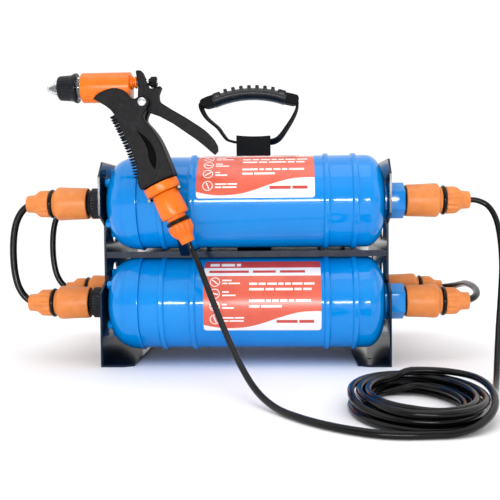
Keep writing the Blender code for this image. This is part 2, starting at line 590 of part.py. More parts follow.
def gun_trigger():
    """Trigger lever, and the valve stem that it pulls with its knob and spring."""
    outline = [(-7.0, 29.5), (-2.3, 29.8), (2.2, 21.2), (4.7, 13.3), (15.6, 14.9), (13.4, 7.1), (15.6, 0.4),
               (25.4, -5.8), (49.9, -21.0), (59.7, -29.0), (66.5, -38.8), (66.5, -44.9), (63.4, -46.7),
               (54.9, -39.4), (37.7, -26.5), (25.4, -17.9), (13.2, -11.2), (3.4, -7.6), (0.0, -7.0),
               (-4.5, -5.0), (-6.2, 0.0), (-5.6, 5.0), (-5.2, 15.1)]
    lever = add_object("trigger_lever", extruded("trigger_lever", outline, 2 * LEVER_HALF),
        "black_plastic", gun_place())
    across = turn_to((0, 1, 0))
    combine(lever, "DIFFERENCE", rod(PIN_RADIUS + GAP, -LEVER_HALF - 3.0, LEVER_HALF + 3.0, 12),
        gun_place(), across)
    slot = STEM_RADIUS + 0.6
    combine(lever, "DIFFERENCE", block((-9.0, -slot, 15.2), (6.0, slot, 33.0)), gun_place())

    at = gun_place(0.0, STEM_HEIGHT)
    stem = turned("valve_stem", [
        (-48.4, 0.0), (-48.4, 4.6), (-44.4, 4.6), (-44.4, STEM_RADIUS), (12.6, STEM_RADIUS), (12.6, 0.0),
    ], 12)
    add_object("valve_stem", stem, "steel", at)
    bore = STEM_RADIUS + GAP
    knob = turned("flow_knob", [
        (5.0, 4.0), (5.8, 4.6), (11.4, 4.6), (12.2, 4.0), (12.2, bore), (5.0, bore),
    ], 12)
    add_object("flow_knob", knob, "black_plastic", at)

    curve = bpy.data.curves.new("valve_spring", "CURVE")
    curve.dimensions = "3D"
    curve.bevel_depth, curve.bevel_resolution, curve.use_fill_caps = 0.45 * MM, 1, True
    turns, per_turn, mean, pitch = 7, 9, STEM_RADIUS + 1.3, 2.9
    spline = curve.splines.new("POLY")
    spline.points.add(turns * per_turn)
    for i, point in enumerate(spline.points):
        turn = 2 * math.pi * i / per_turn
        x = -37.4 + pitch * i / per_turn
        point.co = (x * MM, mean * math.cos(turn) * MM, mean * math.sin(turn) * MM, 1.0)
    add_object("valve_spring", curve, "steel", at)


def gun_ends():
    """Spray nozzle, and the quick connector at the bottom of the grip."""
    at = gun_place(0.0, BARREL_HEIGHT)
    front, plug = BARREL_FROM, BARREL_RADIUS - 4.0 - GAP
    tip = turned("nozzle_tip", [
        (front + 8.0, plug), (front - GAP, plug), (front - GAP, 10.4), (front - 3.6, 10.4),
        (front - 3.6, 8.2),
        (front - 22.6, 8.2), (front - 32.5, 2.2), (front - 32.5, 1.2), (front - 25.0, 5.5),
        (front + 8.0, 5.5),
    ], 20)
    add_object("nozzle_tip", tip, "clear_plastic", at)
    collar = turned("nozzle_collar", [
        (front - 4.2, 13.3), (front - 7.6, 13.3), (front - 10.0, 11.2), (front - 21.0, 10.9),
        (front - 22.0, 10.2),
        (front - 22.0, 8.2 + SLIDE_GAP), (front - 4.2, 8.2 + SLIDE_GAP),
    ], 20)
    add_object("nozzle_collar", collar, "black_plastic", at)

    hold = dict(at=gun_place(*INLET_AT), turn=gun_axes())
    inlet = turned("gun_inlet", [
        (GAP, INLET_FLANGE_RADIUS), (INLET_FLANGE, INLET_FLANGE_RADIUS), (INLET_FLANGE, GUN_NIPPLE_RADIUS),
        (26.0, GUN_NIPPLE_RADIUS), (26.0, 3.5), (GAP, 3.5),
    ], 20)
    add_object("gun_inlet", inlet, "orange_plastic", **hold)
    core = GUN_COLLAR_RADIUS - 4.0
    start, end = INLET_FLANGE + 0.6, 33.5
    sleeve = core + SLIDE_GAP
    collar = turned("gun_collar", [
        (start, GUN_COLLAR_RADIUS - 1.0), (end - 4.0, GUN_COLLAR_RADIUS), (end, GUN_COLLAR_RADIUS - 0.6),
        (end, sleeve), (start, sleeve),
    ], 16)
    add_object("gun_collar", collar, "orange_plastic", **hold)
    ring, nut = end + GUN_COLLAR_TRAVEL + GAP, end + GUN_COLLAR_TRAVEL + GAP + 5.5
    bore = HOSE_DIAMETER / 2 + GAP
    tail = turned("gun_tail", [
        (start + 1.4, core), (ring, core), (ring, core - 0.7), (nut, core - 0.7), (nut, 11.4),
        (nut + 6.5, 11.4),
        (nut + 13.5, 7.0), (GUN_TAIL_END, 6.3), (GUN_TAIL_END, bore), (27.5, bore),
        (27.5, GUN_NIPPLE_RADIUS + GAP),
        (start + 1.4, GUN_NIPPLE_RADIUS + GAP),
    ], 16)
    add_object("gun_tail", tail, "orange_plastic", **hold)


def main():
    clear_scene()
    end_plate("left_end_plate", -1)
    end_plate("right_end_plate", 1)
    mid_shelf()
    cartridges_and_connectors()
    hoses()
    handle()
    gun_body()
    gun_trigger()
    gun_ends()


main()
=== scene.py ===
import json
import math

import bmesh
import bpy
from mathutils import Matrix, Vector


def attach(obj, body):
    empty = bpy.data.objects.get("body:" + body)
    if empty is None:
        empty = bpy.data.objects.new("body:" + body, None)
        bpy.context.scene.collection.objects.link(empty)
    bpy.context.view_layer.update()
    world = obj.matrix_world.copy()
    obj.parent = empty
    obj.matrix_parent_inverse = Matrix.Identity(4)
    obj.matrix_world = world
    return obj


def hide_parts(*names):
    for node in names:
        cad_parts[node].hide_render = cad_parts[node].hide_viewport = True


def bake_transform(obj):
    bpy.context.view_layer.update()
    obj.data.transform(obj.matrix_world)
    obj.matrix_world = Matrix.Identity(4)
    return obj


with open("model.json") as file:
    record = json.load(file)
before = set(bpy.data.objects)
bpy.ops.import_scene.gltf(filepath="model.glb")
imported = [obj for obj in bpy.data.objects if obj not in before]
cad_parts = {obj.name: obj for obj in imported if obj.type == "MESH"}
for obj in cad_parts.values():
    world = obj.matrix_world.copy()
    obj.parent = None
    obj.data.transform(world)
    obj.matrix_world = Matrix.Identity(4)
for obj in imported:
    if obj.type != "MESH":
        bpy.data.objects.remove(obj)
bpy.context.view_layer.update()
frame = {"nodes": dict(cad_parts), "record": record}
mm = 0.001
print("frame loaded:", len(frame["nodes"]), "CAD nodes")

# Places that every piece is set out from, in millimetres
unit = {
    "frontRow": -54.25,  # Y of the front cartridges' axis
    "rearRow": 77.75,
    "middle": 11.75,  # Y of the middle of the stand
    "upperTier": 159.0,  # Z of the upper cartridges' axis
    "lowerTier": 59.0,
    "radius": 45.5,  # of a cartridge
    "half": 136.0,  # half a cartridge's length
}
cartridges = {
    "upper_front": (unit["frontRow"], unit["upperTier"]),
    "lower_front": (unit["frontRow"], unit["lowerTier"]),
    "upper_rear": (unit["rearRow"], unit["upperTier"]),
    "lower_rear": (unit["rearRow"], unit["lowerTier"]),
}

# Camera, level with the lower edge of the upper cartridges
camera = {"place": (39.0, -814.25, 149.0), "left": 2.64, "down": 2.86, "roll": -0.55, "lens": 54.72}
lens = bpy.data.cameras.new("camera")
lens.lens, lens.sensor_width = camera["lens"], 36.0
lens.clip_start, lens.clip_end = 0.02, 20.0
eye = bpy.data.objects.new("camera", lens)
bpy.context.scene.collection.objects.link(eye)
eye.matrix_world = (
    Matrix.Translation(Vector(camera["place"]) * mm)
    @ Matrix.Rotation(math.radians(camera["left"]), 4, "Z")
    @ Matrix.Rotation(math.radians(90 - camera["down"]), 4, "X")
    @ Matrix.Rotation(math.radians(camera["roll"]), 4, "Z")
)
bpy.context.scene.camera = eye


# Materials

def linear(code):
    parts = [int(code[i : i + 2], 16) / 255 for i in (1, 3, 5)]
    return [p / 12.92 if p <= 0.04045 else ((p + 0.055) / 1.055) ** 2.4 for p in parts] + [1.0]


def addNode(tree, kind, links=None, inputs=None, **settings):
    node = tree.nodes.new("ShaderNode" + kind)
    for key, value in settings.items():
        setattr(node, key, value)
    for key, value in (inputs or {}).items():
        node.inputs[key].default_value = value
    for key, source in (links or {}).items():
        tree.links.new(source, node.inputs[key])
    return node


def newFinish(name, colour, roughness, **sockets):
    made = bpy.data.materials.new(name)
    made.use_nodes = True
    tree = made.node_tree
    shader = tree.nodes["Principled BSDF"]
    shader.inputs["Base Color"].default_value = linear(colour)
    shader.inputs["Roughness"].default_value = roughness
    for key, value in sockets.items():
        shader.inputs[key.replace("_", " ")].default_value = value
    place = addNode(tree, "TexCoord").outputs["Object"]
    return made, tree, shader, place


def mottle(tree, shader, place, colours, size):
    # two shades of one colour that drift into each other over a distance of size mm
    cloud = addNode(tree, "TexNoise", {"Vector": place},
                    {"Scale": 1000 / size, "Detail": 3.0, "Roughness": 0.55})
    ramp = addNode(tree, "ValToRGB", {"Fac": cloud.outputs["Fac"]})
    ramp.color_ramp.elements[0].position, ramp.color_ramp.elements[1].position = 0.3, 0.7
    ramp.color_ramp.elements[0].color = linear(colours[0])
    ramp.color_ramp.elements[1].color = linear(colours[1])
    tree.links.new(ramp.outputs["Color"], shader.inputs["Base Color"])


def varyRoughness(tree, shader, place, low, high, size):
    patch = addNode(tree, "TexNoise", {"Vector": place},
                    {"Scale": 1000 / size, "Detail": 4.0, "Roughness": 0.6})
    spread = addNode(
        tree, "MapRange", {"Value": patch.outputs["Fac"]},
        {"From Min": 0.3, "From Max": 0.7, "To Min": low, "To Max": high},
    )
    tree.links.new(spread.outputs["Result"], shader.inputs["Roughness"])


def grain(tree, shader, place, size, height, detail=2.0):
    # moulded or sprayed texture: grains of size mm that stand height mm proud
    grains = addNode(tree, "TexNoise", {"Vector": place}, {"Scale": 1000 / size, "Detail": detail})
    bump = addNode(
        tree, "Bump", {"Height": grains.outputs["Fac"]}, {"Strength": 1.0, "Distance": height * mm}
    )
    tree.links.new(bump.outputs["Normal"], shader.inputs["Normal"])


# Polypropylene, injection moulded: a waxy gloss with a faint orange peel
bluePolypropylene, tree, shader, place = newFinish("mouldedPolypropylene", "#007ECE", 0.09,
                                                   Specular_IOR_Level=0.42)
mottle(tree, shader, place, ("#007ACA", "#0084D4"), 60)
varyRoughness(tree, shader, place, 0.07, 0.13, 14)
grain(tree, shader, place, 6.0, 0.008)

# ABS, injection moulded: the orange of the hose fittings, a satin skin with fine flow marks
fittingAbs, tree, shader, place = newFinish("mouldedAbs", "#D47C3A", 0.34, Specular_IOR_Level=0.4)
mottle(tree, shader, place, ("#CE7634", "#DA8442"), 9)
varyRoughness(tree, shader, place, 0.34, 0.5, 5)
grain(tree, shader, place, 0.9, 0.02)

# The gun's ABS is polished brighter
gunAbs, tree, shader, place = newFinish("polishedAbs", "#E66A02", 0.22, Specular_IOR_Level=0.4)
mottle(tree, shader, place, ("#E26601", "#EA7006"), 18)
varyRoughness(tree, shader, place, 0.22, 0.34, 7)
grain(tree, shader, place, 4.0, 0.008)

# Glass filled nylon, moulded: nearly black, cool, with a dry sheen
blackNylon, tree, shader, place = newFinish("mouldedNylon", "#0F1117", 0.3, Specular_IOR_Level=0.2)
mottle(tree, shader, place, ("#0B0D12", "#14161D"), 5)
varyRoughness(tree, shader, place, 0.24, 0.36, 3)
grain(tree, shader, place, 0.6, 0.015)

# Nitrile rubber, moulded: soft black seal
sealRubber, tree, shader, place = newFinish("mouldedNitrileRubber", "#040405", 0.2, Specular_IOR_Level=0.22)
mottle(tree, shader, place, ("#030304", "#070709"), 3)
varyRoughness(tree, shader, place, 0.16, 0.26, 2)

# Sheet steel, painted: blue-black gloss enamel with a little orange peel
paintedSteel, tree, shader, place = newFinish("paintedSheetSteel", "#08142A", 0.12, Specular_IOR_Level=0.24)
mottle(tree, shader, place, ("#050F20", "#0A1A34"), 30)
varyRoughness(tree, shader, place, 0.1, 0.17, 9)
grain(tree, shader, place, 4.0, 0.012)

# Polyurethane, extruded: wet black gloss
hosePlastic, tree, shader, place = newFinish("extrudedPolyurethane", "#030304", 0.2,
                                             Specular_IOR_Level=0.24)
mottle(tree, shader, place, ("#020203", "#060608"), 12)
varyRoughness(tree, shader, place, 0.15, 0.24, 6)

# Thermoplastic rubber over the gun's grip: dull black with a fine leather grain
gripRubber, tree, shader, place = newFinish("overmouldedRubber", "#121113", 0.46, Specular_IOR_Level=0.14)
mottle(tree, shader, place, ("#0E0D0F", "#171618"), 8)
varyRoughness(tree, shader, place, 0.44, 0.6, 3)
grain(tree, shader, place, 0.55, 0.05)

# Painted shade: plain cast rubber, dead black and matte, laid on the floor of the grip's finger recess to
# stand for the shade in it
recessShadeRubber, tree, shader, place = newFinish("recessShadeRubber", "#030303", 0.85, Specular_IOR_Level=0.1)
mottle(tree, shader, place, ("#020202", "#050505"), 4)
grain(tree, shader, place, 0.8, 0.04)

# Thermoplastic rubber of the carrying grip: dark grey, a touch shinier
handleRubber, tree, shader, place = newFinish("mouldedThermoplasticRubber", "#1C1D20", 0.36,
                                              Specular_IOR_Level=0.3)
mottle(tree, shader, place, ("#17181A", "#222326"), 9)
varyRoughness(tree, shader, place, 0.28, 0.4, 4)
grain(tree, shader, place, 0.7, 0.02)

# Polycarbonate, moulded: water clear
clearPlastic, tree, shader, place = newFinish(
    "mouldedPolycarbonate", "#F4F8FA", 0.06, Transmission_Weight=0.92, IOR=1.58
)
varyRoughness(tree, shader, place, 0.04, 0.1, 4)

# Stainless steel, turned: fine rings round the axis show as a soft streak
turnedSteel, tree, shader, place = newFinish("turnedStainlessSteel", "#D6D7DA", 0.26, Metallic=1.0)
varyRoughness(tree, shader, place, 0.2, 0.34, 1.5)

# Ion exchange resin: amber beads about 0.7 mm across, drawn at 1.4 mm
resinBeads, tree, shader, place = newFinish("castResinBeads", "#A8672A", 0.35)
beads = addNode(tree, "TexVoronoi", {"Vector": place}, {"Scale": 700.0})
shade = addNode(tree, "ValToRGB", {"Fac": beads.outputs["Color"]})
shade.color_ramp.elements[0].color, shade.color_ramp.elements[1].color = linear("#7A4216"), linear("#C98A45")
tree.links.new(shade.outputs["Color"], shader.inputs["Base Color"])
bump = addNode(tree, "Bump", {"Height": beads.outputs["Distance"]}, {"Strength": 1.0, "Distance": 0.4 * mm},
               invert=True)
tree.links.new(bump.outputs["Normal"], shader.inputs["Normal"])
print("materials mixed")


# Modelling tools

def addPiece(bm, name, material, body, replaced=(), sharp=40):
    bmesh.ops.recalc_face_normals(bm, faces=bm.faces)
    mesh = bpy.data.meshes.new(name)
    bm.to_mesh(mesh)
    bm.free()
    mesh.shade_smooth()
    mesh.set_sharp_from_angle(angle=math.radians(sharp))
    mesh.materials.append(material)
    piece = bpy.data.objects.new(name, mesh)
    bpy.context.scene.collection.objects.link(piece)
    if replaced:
        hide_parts(*replaced)
    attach(piece, body)
    return piece


def smoothLine(points, step):
    # places about step apart on a smooth line through the points
    knots = [Vector(p) for p in points]
    knots = [knots[0] * 2 - knots[1]] + knots + [knots[-1] * 2 - knots[-2]]
    line = []
    for a, b, c, d in zip(knots, knots[1:], knots[2:], knots[3:]):
        count = max(2, round((c - b).length / step))
        for i in range(count):
            t = i / count
            line.append(0.5 * (2 * b + (c - a) * t + (2 * a - 5 * b + 4 * c - d) * t * t
                               + (3 * b - a - 3 * c + d) * t ** 3))
    return line + [knots[-2]]


def lineLength(line):
    return sum((b - a).length for a, b in zip(line, line[1:]))


def addHose(name, line, diameter, material):
    curve = bpy.data.curves.new(name, "CURVE")
    curve.dimensions = "3D"
    curve.bevel_depth, curve.bevel_resolution, curve.use_fill_caps = diameter / 2 * mm, 5, True
    spline = curve.splines.new("POLY")
    spline.points.add(len(line) - 1)
    for point, place in zip(spline.points, line):
        point.co = (*(place * mm), 1.0)
    drawn = bpy.data.objects.new(name + "Line", curve)
    bpy.context.scene.collection.objects.link(drawn)
    mesh = bpy.data.meshes.new_from_object(drawn.evaluated_get(bpy.context.evaluated_depsgraph_get()))
    bpy.data.objects.remove(drawn)
    bm = bmesh.new()
    bm.from_mesh(mesh)
    bmesh.ops.remove_doubles(bm, verts=bm.verts, dist=1e-6)
    bmesh.ops.recalc_face_normals(bm, faces=bm.faces)
    bm.to_mesh(mesh)
    bm.free()
    mesh.name = name
    mesh.shade_smooth()
    mesh.set_sharp_from_angle(angle=math.radians(60))
    mesh.materials.clear()
    mesh.materials.append(material)
    piece = bpy.data.objects.new(name, mesh)
    bpy.context.scene.collection.objects.link(piece)
    return piece


def lathe(profile, steps=96, rounding=0.0, segments=2):
    # turned about X from (along, radius) points
    bm = bmesh.new()
    points = [bm.verts.new((x * mm, 0.0, r * mm)) for x, r in profile]
    edges = [bm.edges.new(pair) for pair in zip(points, points[1:])]
    if profile[0][1] or profile[-1][1]:
        edges.append(bm.edges.new((points[-1], points[0])))
    bmesh.ops.spin(bm, geom=points + edges, cent=(0, 0, 0), axis=(1, 0, 0), angle=2 * math.pi, steps=steps,
                   use_merge=True)
    bmesh.ops.remove_doubles(bm, verts=bm.verts, dist=1e-7)
    bmesh.ops.recalc_face_normals(bm, faces=bm.faces)
    if rounding:
        roundEdges(bm, rounding, segments=segments)
    return bm


def roundEdges(bm, width, angle=28, segments=2):
    bm.normal_update()
    sharp = [e for e in bm.edges if len(e.link_faces) == 2 and e.calc_face_angle(0.0) > math.radians(angle)]
    if sharp:
        bmesh.ops.bevel(bm, geom=sharp, offset=width * mm, segments=segments, affect="EDGES", profile=0.5,
                        material=-1, clamp_overlap=True)


def curveOf(centre, reach, first, last, steps=8):
    # points of an elliptical corner, angles in degrees
    turns = [math.radians(first + (last - first) * i / steps) for i in range(steps + 1)]
    return [(centre[0] + reach[0] * math.cos(t), centre[1] + reach[1] * math.sin(t)) for t in turns]


def put(bm, at, turn=None):
    matrix = Matrix.Translation(Vector(at) * mm) @ (turn or Matrix.Identity(3)).to_4x4()
    bmesh.ops.transform(bm, matrix=matrix, verts=bm.verts)
    return bm


def flute(bm, start, end, count, depth, least=0.0):
    # hollows that run along a turned piece between two places
    for v in bm.verts:
        r = math.hypot(v.co.y, v.co.z)
        if start * mm <= v.co.x <= end * mm and r > least * mm:
            hollow = 0.5 - 0.5 * math.cos(count * math.atan2(v.co.z, v.co.y))
            k = 1 - depth * mm * hollow ** 1.5 / r
            v.co.y, v.co.z = v.co.y * k, v.co.z * k


def thicken(bm, by):
    # gives flat faces a thickness
    grown = bmesh.ops.extrude_face_region(bm, geom=bm.faces[:])["geom"]
    bmesh.ops.translate(bm, verts=[g for g in grown if isinstance(g, bmesh.types.BMVert)], vec=by)


def slab(outline, half):
    # an outline in X and Z with thickness, its middle at Y = 0
    bm = bmesh.new()
    bm.faces.new([bm.verts.new(Vector((x, -half, z)) * mm) for x, z in outline])
    thicken(bm, Vector((0, 1, 0)) * 2 * half * mm)
    bmesh.ops.recalc_face_normals(bm, faces=bm.faces)
    return bm


def addBlock(bm, size, at, turn=None, rounding=0.0):
    # one more closed block in the same piece
    matrix = Matrix.Translation(Vector(at) * mm) @ (turn or Matrix.Identity(3)).to_4x4()
    made = bmesh.ops.create_cube(bm, size=1.0, matrix=matrix @ Matrix.Diagonal((*(Vector(size) * mm), 1.0)))
    if rounding:
        edges = {e for v in made["verts"] for e in v.link_edges}
        bmesh.ops.bevel(bm, geom=list(edges), offset=rounding * mm, segments=2, affect="EDGES", profile=0.5,
                        material=-1)


def meshOf(bm, name):
    mesh = bpy.data.meshes.new(name)
    bm.to_mesh(mesh)
    bm.free()
    return mesh


def carve(bm, cutter, name, operation="DIFFERENCE"):
    # cuts one closed mesh out of another and hands the result back
    bmesh.ops.recalc_face_normals(bm, faces=bm.faces)
    bmesh.ops.recalc_face_normals(cutter, faces=cutter.faces)
    work = []
    for part, source in (("Body", bm), ("Cutter", cutter)):
        work.append(bpy.data.objects.new(name + part, meshOf(source, name + part)))
    for o in work:
        bpy.context.scene.collection.objects.link(o)
    cut = work[0].modifiers.new("cut", "BOOLEAN")
    cut.operation, cut.solver, cut.object = operation, "EXACT", work[1]
    result = bmesh.new()
    shaped = work[0].evaluated_get(bpy.context.evaluated_depsgraph_get())
    result.from_mesh(shaped.data)
    for o in work:
        bpy.data.objects.remove(o)
    return result


def soften(bm, name, cell, passes, factor=0.5):
    # rounds a moulded shape all over by rebuilding its skin in small cells
    bmesh.ops.recalc_face_normals(bm, faces=bm.faces)
    work = bpy.data.objects.new(name + "Work", meshOf(bm, name + "Work"))
    bpy.context.scene.collection.objects.link(work)
    skin = work.modifiers.new("skin", "REMESH")
    skin.mode, skin.voxel_size = "VOXEL", cell * mm
    ease = work.modifiers.new("ease", "SMOOTH")
    ease.iterations, ease.factor = passes, factor
    result = bmesh.new()
    result.from_mesh(work.evaluated_get(bpy.context.evaluated_depsgraph_get()).data)
    bpy.data.objects.remove(work)
    return result


def ribbon(path, width, thick, twist=(0.0, 0.0), columns=6):
    # a strap along a path in X and Z, crossways along Y, that may turn about its own length
    points = [Vector((x, 0.0, z)) for x, z in path]
    bm, rows = bmesh.new(), []
    for i, here in enumerate(points):
        before, after = points[max(i - 1, 0)], points[min(i + 1, len(points) - 1)]
        along = (after - before).normalized()
        angle = math.radians(twist[0] + (twist[1] - twist[0]) * i / (len(points) - 1))
        across = Matrix.Rotation(angle, 3, along) @ Vector((0, 1, 0))
        places = [here + across * width * (c / columns - 0.5) for c in range(columns + 1)]
        rows.append([bm.verts.new(place * mm) for place in places])
    for a, b in zip(rows, rows[1:]):
        for c in range(columns):
            bm.faces.new((a[c], a[c + 1], b[c + 1], b[c]))
    bm.normal_update()
    for v in bm.verts:
        v.co -= v.normal * thick * mm / 2
    bmesh.ops.solidify(bm, geom=bm.faces[:], thickness=-thick * mm)
    bmesh.ops.recalc_face_normals(bm, faces=bm.faces)
    return bm


# Hoses: three jumpers, and the long hose that runs from the outlet to the coil and on to the gun
jumper = {"diameter": 7.0, "reach": 236.9, "start": 204.6, "nutEnd": 220.6}
tip, begin = jumper["nutEnd"], jumper["start"]
halfBend = [(begin, 0.0), (begin + 7, 0.0), (tip - 4.5, 0.4), (tip + 1, 2.6), (tip + 7.2, 8.4),
            (tip + 12.4, 18.5), (tip + 15.4, 33.0)]
middleZ = (unit["upperTier"] + unit["lowerTier"]) / 2


def addJumper(name, node, line):
    piece = addHose(name, line, jumper["diameter"], hosePlastic)
    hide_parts(node)
    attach(piece, "stand")


for name, node, y in (("frontJumper", "front_jumper", unit["frontRow"]),
                      ("rearJumper", "rear_jumper", unit["rearRow"])):
    upper = [(-x, y, unit["upperTier"] - z) for x, z in halfBend]
    lower = [(-x, y, unit["lowerTier"] + z) for x, z in reversed(halfBend)]
    line = smoothLine(upper + [(-jumper["reach"], y, middleZ)] + lower, 2.0)
    addJumper(name, node, line)
rises = [0.0, 0.0, 0.2, 1.0, 2.4, 4.6, 7.4]
outward = [(x, unit["frontRow"] + y, unit["lowerTier"] + r) for (x, y), r in zip(halfBend, rises)]
back = [(x, 2 * unit["middle"] - y, z) for x, y, z in reversed(outward)]
crown = [(jumper["reach"], unit["middle"] + y, unit["lowerTier"] + 9.6) for y in (-14.0, 14.0)]
line = smoothLine(outward + crown + back, 2.0)
addJumper("lowerJumper", "lower_jumper", line)

gunHose = {
    "diameter": 5.5,
    "centre": (135.5, -251.5),  # of the coil
    "outer": (50.5, 67.0),  # half its width and half its depth
    "layer": 5.65,  # one turn on another
    "slots": [(0, 0), (1, 0), (2, 0), (2.55, 1), (1.5, 1), (0.45, 1), (0, 2), (1.15, 2), (2.3, 2)],
    "perTurn": 48,  # points in a turn
    "firstSlip": 0.86,  # turns before the hose slips to the second slot
    "nextSlip": 0.905,  # turns from one slip to the next
    "slipOver": 0.13,  # turns that a slip takes
    "gunTilt": 25.0,
    "inlet": (-88.0 + 12.9, -119.25, 248.4 - 72.5),  # foot of the gun's grip
}


def coilLine():
    # Each slot is (diameters inwards, layer). The hose slips to the next slot a little earlier in every turn.
    slots, d, layer = gunHose["slots"], gunHose["diameter"] + 0.1, gunHose["layer"]
    line = []
    moves = [gunHose["firstSlip"] + k * gunHose["nextSlip"] for k in range(len(slots) - 1)]
    count = int(gunHose["perTurn"] * (moves[-1] + 0.5))
    for i in range(6, count + 1):
        turn = i / gunHose["perTurn"]
        inward, level = slots[0]
        for k, start in enumerate(moves):
            t = min(max((turn - start) / gunHose["slipOver"], 0.0), 1.0)
            s = t * t * (3 - 2 * t)
            (a, m), (b, n) = slots[k], slots[k + 1]
            if t > 0:
                inward, level = a + (b - a) * s, m + (n - m) * s
                if m != n:
                    inward += (0.35 if m == 0 else -0.35) * math.sin(math.pi * s)
        line.append((turn, inward, level))
    # over the top to the outside, and down to the floor at the front
    turn, inward, level = line[-1]
    steps = int(gunHose["perTurn"] * 0.56)
    for i in range(1, steps + 1):
        t = i / steps
        out = min(max((t - 0.1) / 0.36, 0.0), 1.0)
        fall = min(max((t - 0.46) / 0.54, 0.0), 1.0)
        over = min(t / 0.16, 1.0)
        out, fall, over = (v * v * (3 - 2 * v) for v in (out, fall, over))
        high = (level + over) * (1 - fall)
        line.append((turn + i / gunHose["perTurn"], inward + (-1.05 - inward) * out, high))
    places = []
    for turn, inward, level in line:
        angle = 2 * math.pi * turn
        off = gunHose["diameter"] / 2 + inward * d
        wave = 1 + 0.012 * math.sin(2 * angle + 0.7) + 0.008 * math.sin(3 * angle)
        places.append(Vector((
            gunHose["centre"][0] + (gunHose["outer"][0] - off) * math.cos(angle) * wave,
            gunHose["centre"][1] - (gunHose["outer"][1] - off) * math.sin(angle) * wave,
            0.35 + gunHose["diameter"] / 2 + level * layer,
        )))
    return places


outletY, outletZ = unit["frontRow"], unit["upperTier"]
fallLine = [(begin, outletY, outletZ), (begin + 8, outletY, outletZ), (tip, outletY, outletZ),
            (tip + 8, outletY - 0.5, outletZ - 0.8), (tip + 17.5, outletY - 3, outletZ - 6),
            (tip + 23.5, outletY - 9, outletZ - 18), (246.0, -72.25, 122.0), (244.0, -86.25, 98.0),
            (238.5, -103.25, 72.0), (231.0, -124.25, 46.0), (223.0, -149.25, 23.0), (215.5, -174.25, 8.5),
            (208.5, -196.25, 3.3), (201.0, -216.25, 3.1)]
coil = coilLine()
gunTilt = math.radians(gunHose["gunTilt"])
alongGun = Vector((math.sin(gunTilt), 0.0, -math.cos(gunTilt)))
gunEnd = [tuple(Vector(gunHose["inlet"]) + alongGun * d) for d in (68.0, 62.0, 56.0, 50.0)]
floorLine = [(114.0, -322.4, 3.1), (93.0, -317.25, 3.1), (69.0, -302.25, 3.1), (48.0, -281.25, 3.1),
             (31.0, -257.25, 4.0), (16.0, -231.25, 10.5), (2.5, -204.25, 24.5), (-10.0, -178.25, 43.5),
             (-21.5, -155.25, 64.0), (-32.0, -136.75, 85.0), (-40.5, -125.25, 104.0)]
toCoil = smoothLine(fallLine + [tuple(coil[0])], 3.0)
toGun = smoothLine([tuple(coil[-1])] + floorLine + gunEnd, 3.0)
hoseLine = toCoil[:-1] + coil + toGun[1:]
print("gun hose is", round(lineLength(hoseLine)), "mm long, its coil", round(lineLength(coil)))
hose = addHose("gunHose", hoseLine, gunHose["diameter"], hosePlastic)
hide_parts("hose_to_coil", "hose_coil", "hose_to_gun")
print("hoses laid")

# Studio: pale sweep, soft light from above and a long strip in front
studio = {"floor": "#FCFCFE", "behind": 1.06, "front": 0.5, "zenith": 1.12}
bm = bmesh.new()
bmesh.ops.create_grid(bm, x_segments=1, y_segments=1, size=4.0)
mesh = bpy.data.meshes.new("floor")
bm.to_mesh(mesh)
bm.free()
floor = bpy.data.objects.new("floor", mesh)
bpy.context.scene.collection.objects.link(floor)
paper, tree, shader, place = newFinish("paintedStudioFloor", studio["floor"], 0.7)
mesh.materials.append(paper)
# The room: white behind the unit and overhead, dimmer at the front where the strip light stands
world = bpy.data.worlds.new("studio")
bpy.context.scene.world = world
world.use_nodes = True
sky = world.node_tree
toward = addNode(sky, "SeparateXYZ", {"Vector": addNode(sky, "TexCoord").outputs["Generated"]})
level = addNode(
    sky, "MapRange", {"Value": toward.outputs["Y"]},
    {"From Min": -0.35, "From Max": 0.35, "To Min": studio["front"], "To Max": studio["behind"]},
    interpolation_type="SMOOTHSTEP",
)
rise = addNode(sky, "MapRange", {"Value": toward.outputs["Z"]}, {"From Min": 0.3, "From Max": 0.75},
               interpolation_type="SMOOTHSTEP")
blend = addNode(sky, "Mix", {"Factor": rise.outputs["Result"], "A": level.outputs["Result"]},
                {"B": studio["zenith"]})
sky.links.new(blend.outputs["Result"], sky.nodes["Background"].inputs["Strength"])
sky.nodes["Background"].inputs["Color"].default_value = (1.0, 1.0, 1.0, 1.0)
lamps = {
    "overheadSoftbox": ((0.0, -0.3, 1.6), (1.4, 1.0), 5.0, (0.0, 0.0, 0.1)),
    "frontStrip": ((-0.1, -3.0, 0.27), (2.2, 0.18), 50.0, (0.0, 0.0, 0.12)),
    "leftSoftbox": ((-1.4, -0.5, 0.7), (0.8, 0.8), 1.6, (0.0, 0.0, 0.12)),
    "rightSoftbox": ((1.4, -0.5, 0.7), (0.8, 0.8), 1.6, (0.0, 0.0, 0.12)),
}
for name, (at, size, power, target) in lamps.items():
    light = bpy.data.lights.new(name, "AREA")
    light.shape, light.size, light.size_y, light.energy = "RECTANGLE", size[0], size[1], power
    lamp = bpy.data.objects.new(name, light)
    bpy.context.scene.collection.objects.link(lamp)
    lamp.location = at
    lamp.rotation_mode = "QUATERNION"
    lamp.rotation_quaternion = (Vector(target) - Vector(at)).to_track_quat("-Z", "Y")
bpy.context.scene.view_settings.view_transform = "Standard"
print("studio lit")


# Cartridges: ribbed shell with a hexagon at the outlet end, and a domed cap with a flared skirt
shell = {"ribs": (-80.0, -50.0, 79.0, 106.0), "ribHalf": 3.2, "ribRise": 2.0, "end": (18.0, 27.0)}
cap = {
    "seam": -114.5,
    "lip": -101.5,
    "dome": (21.5, 29.0),  # length and height of the rounded end
    "shoulder": 44.4,
    "lugs": (40, 90, 140, 220, 270, 320),  # degrees
    "lugAt": 30.5,
}
hexagon = {"flats": 31.0, "start": 134.0, "end": 156.2}


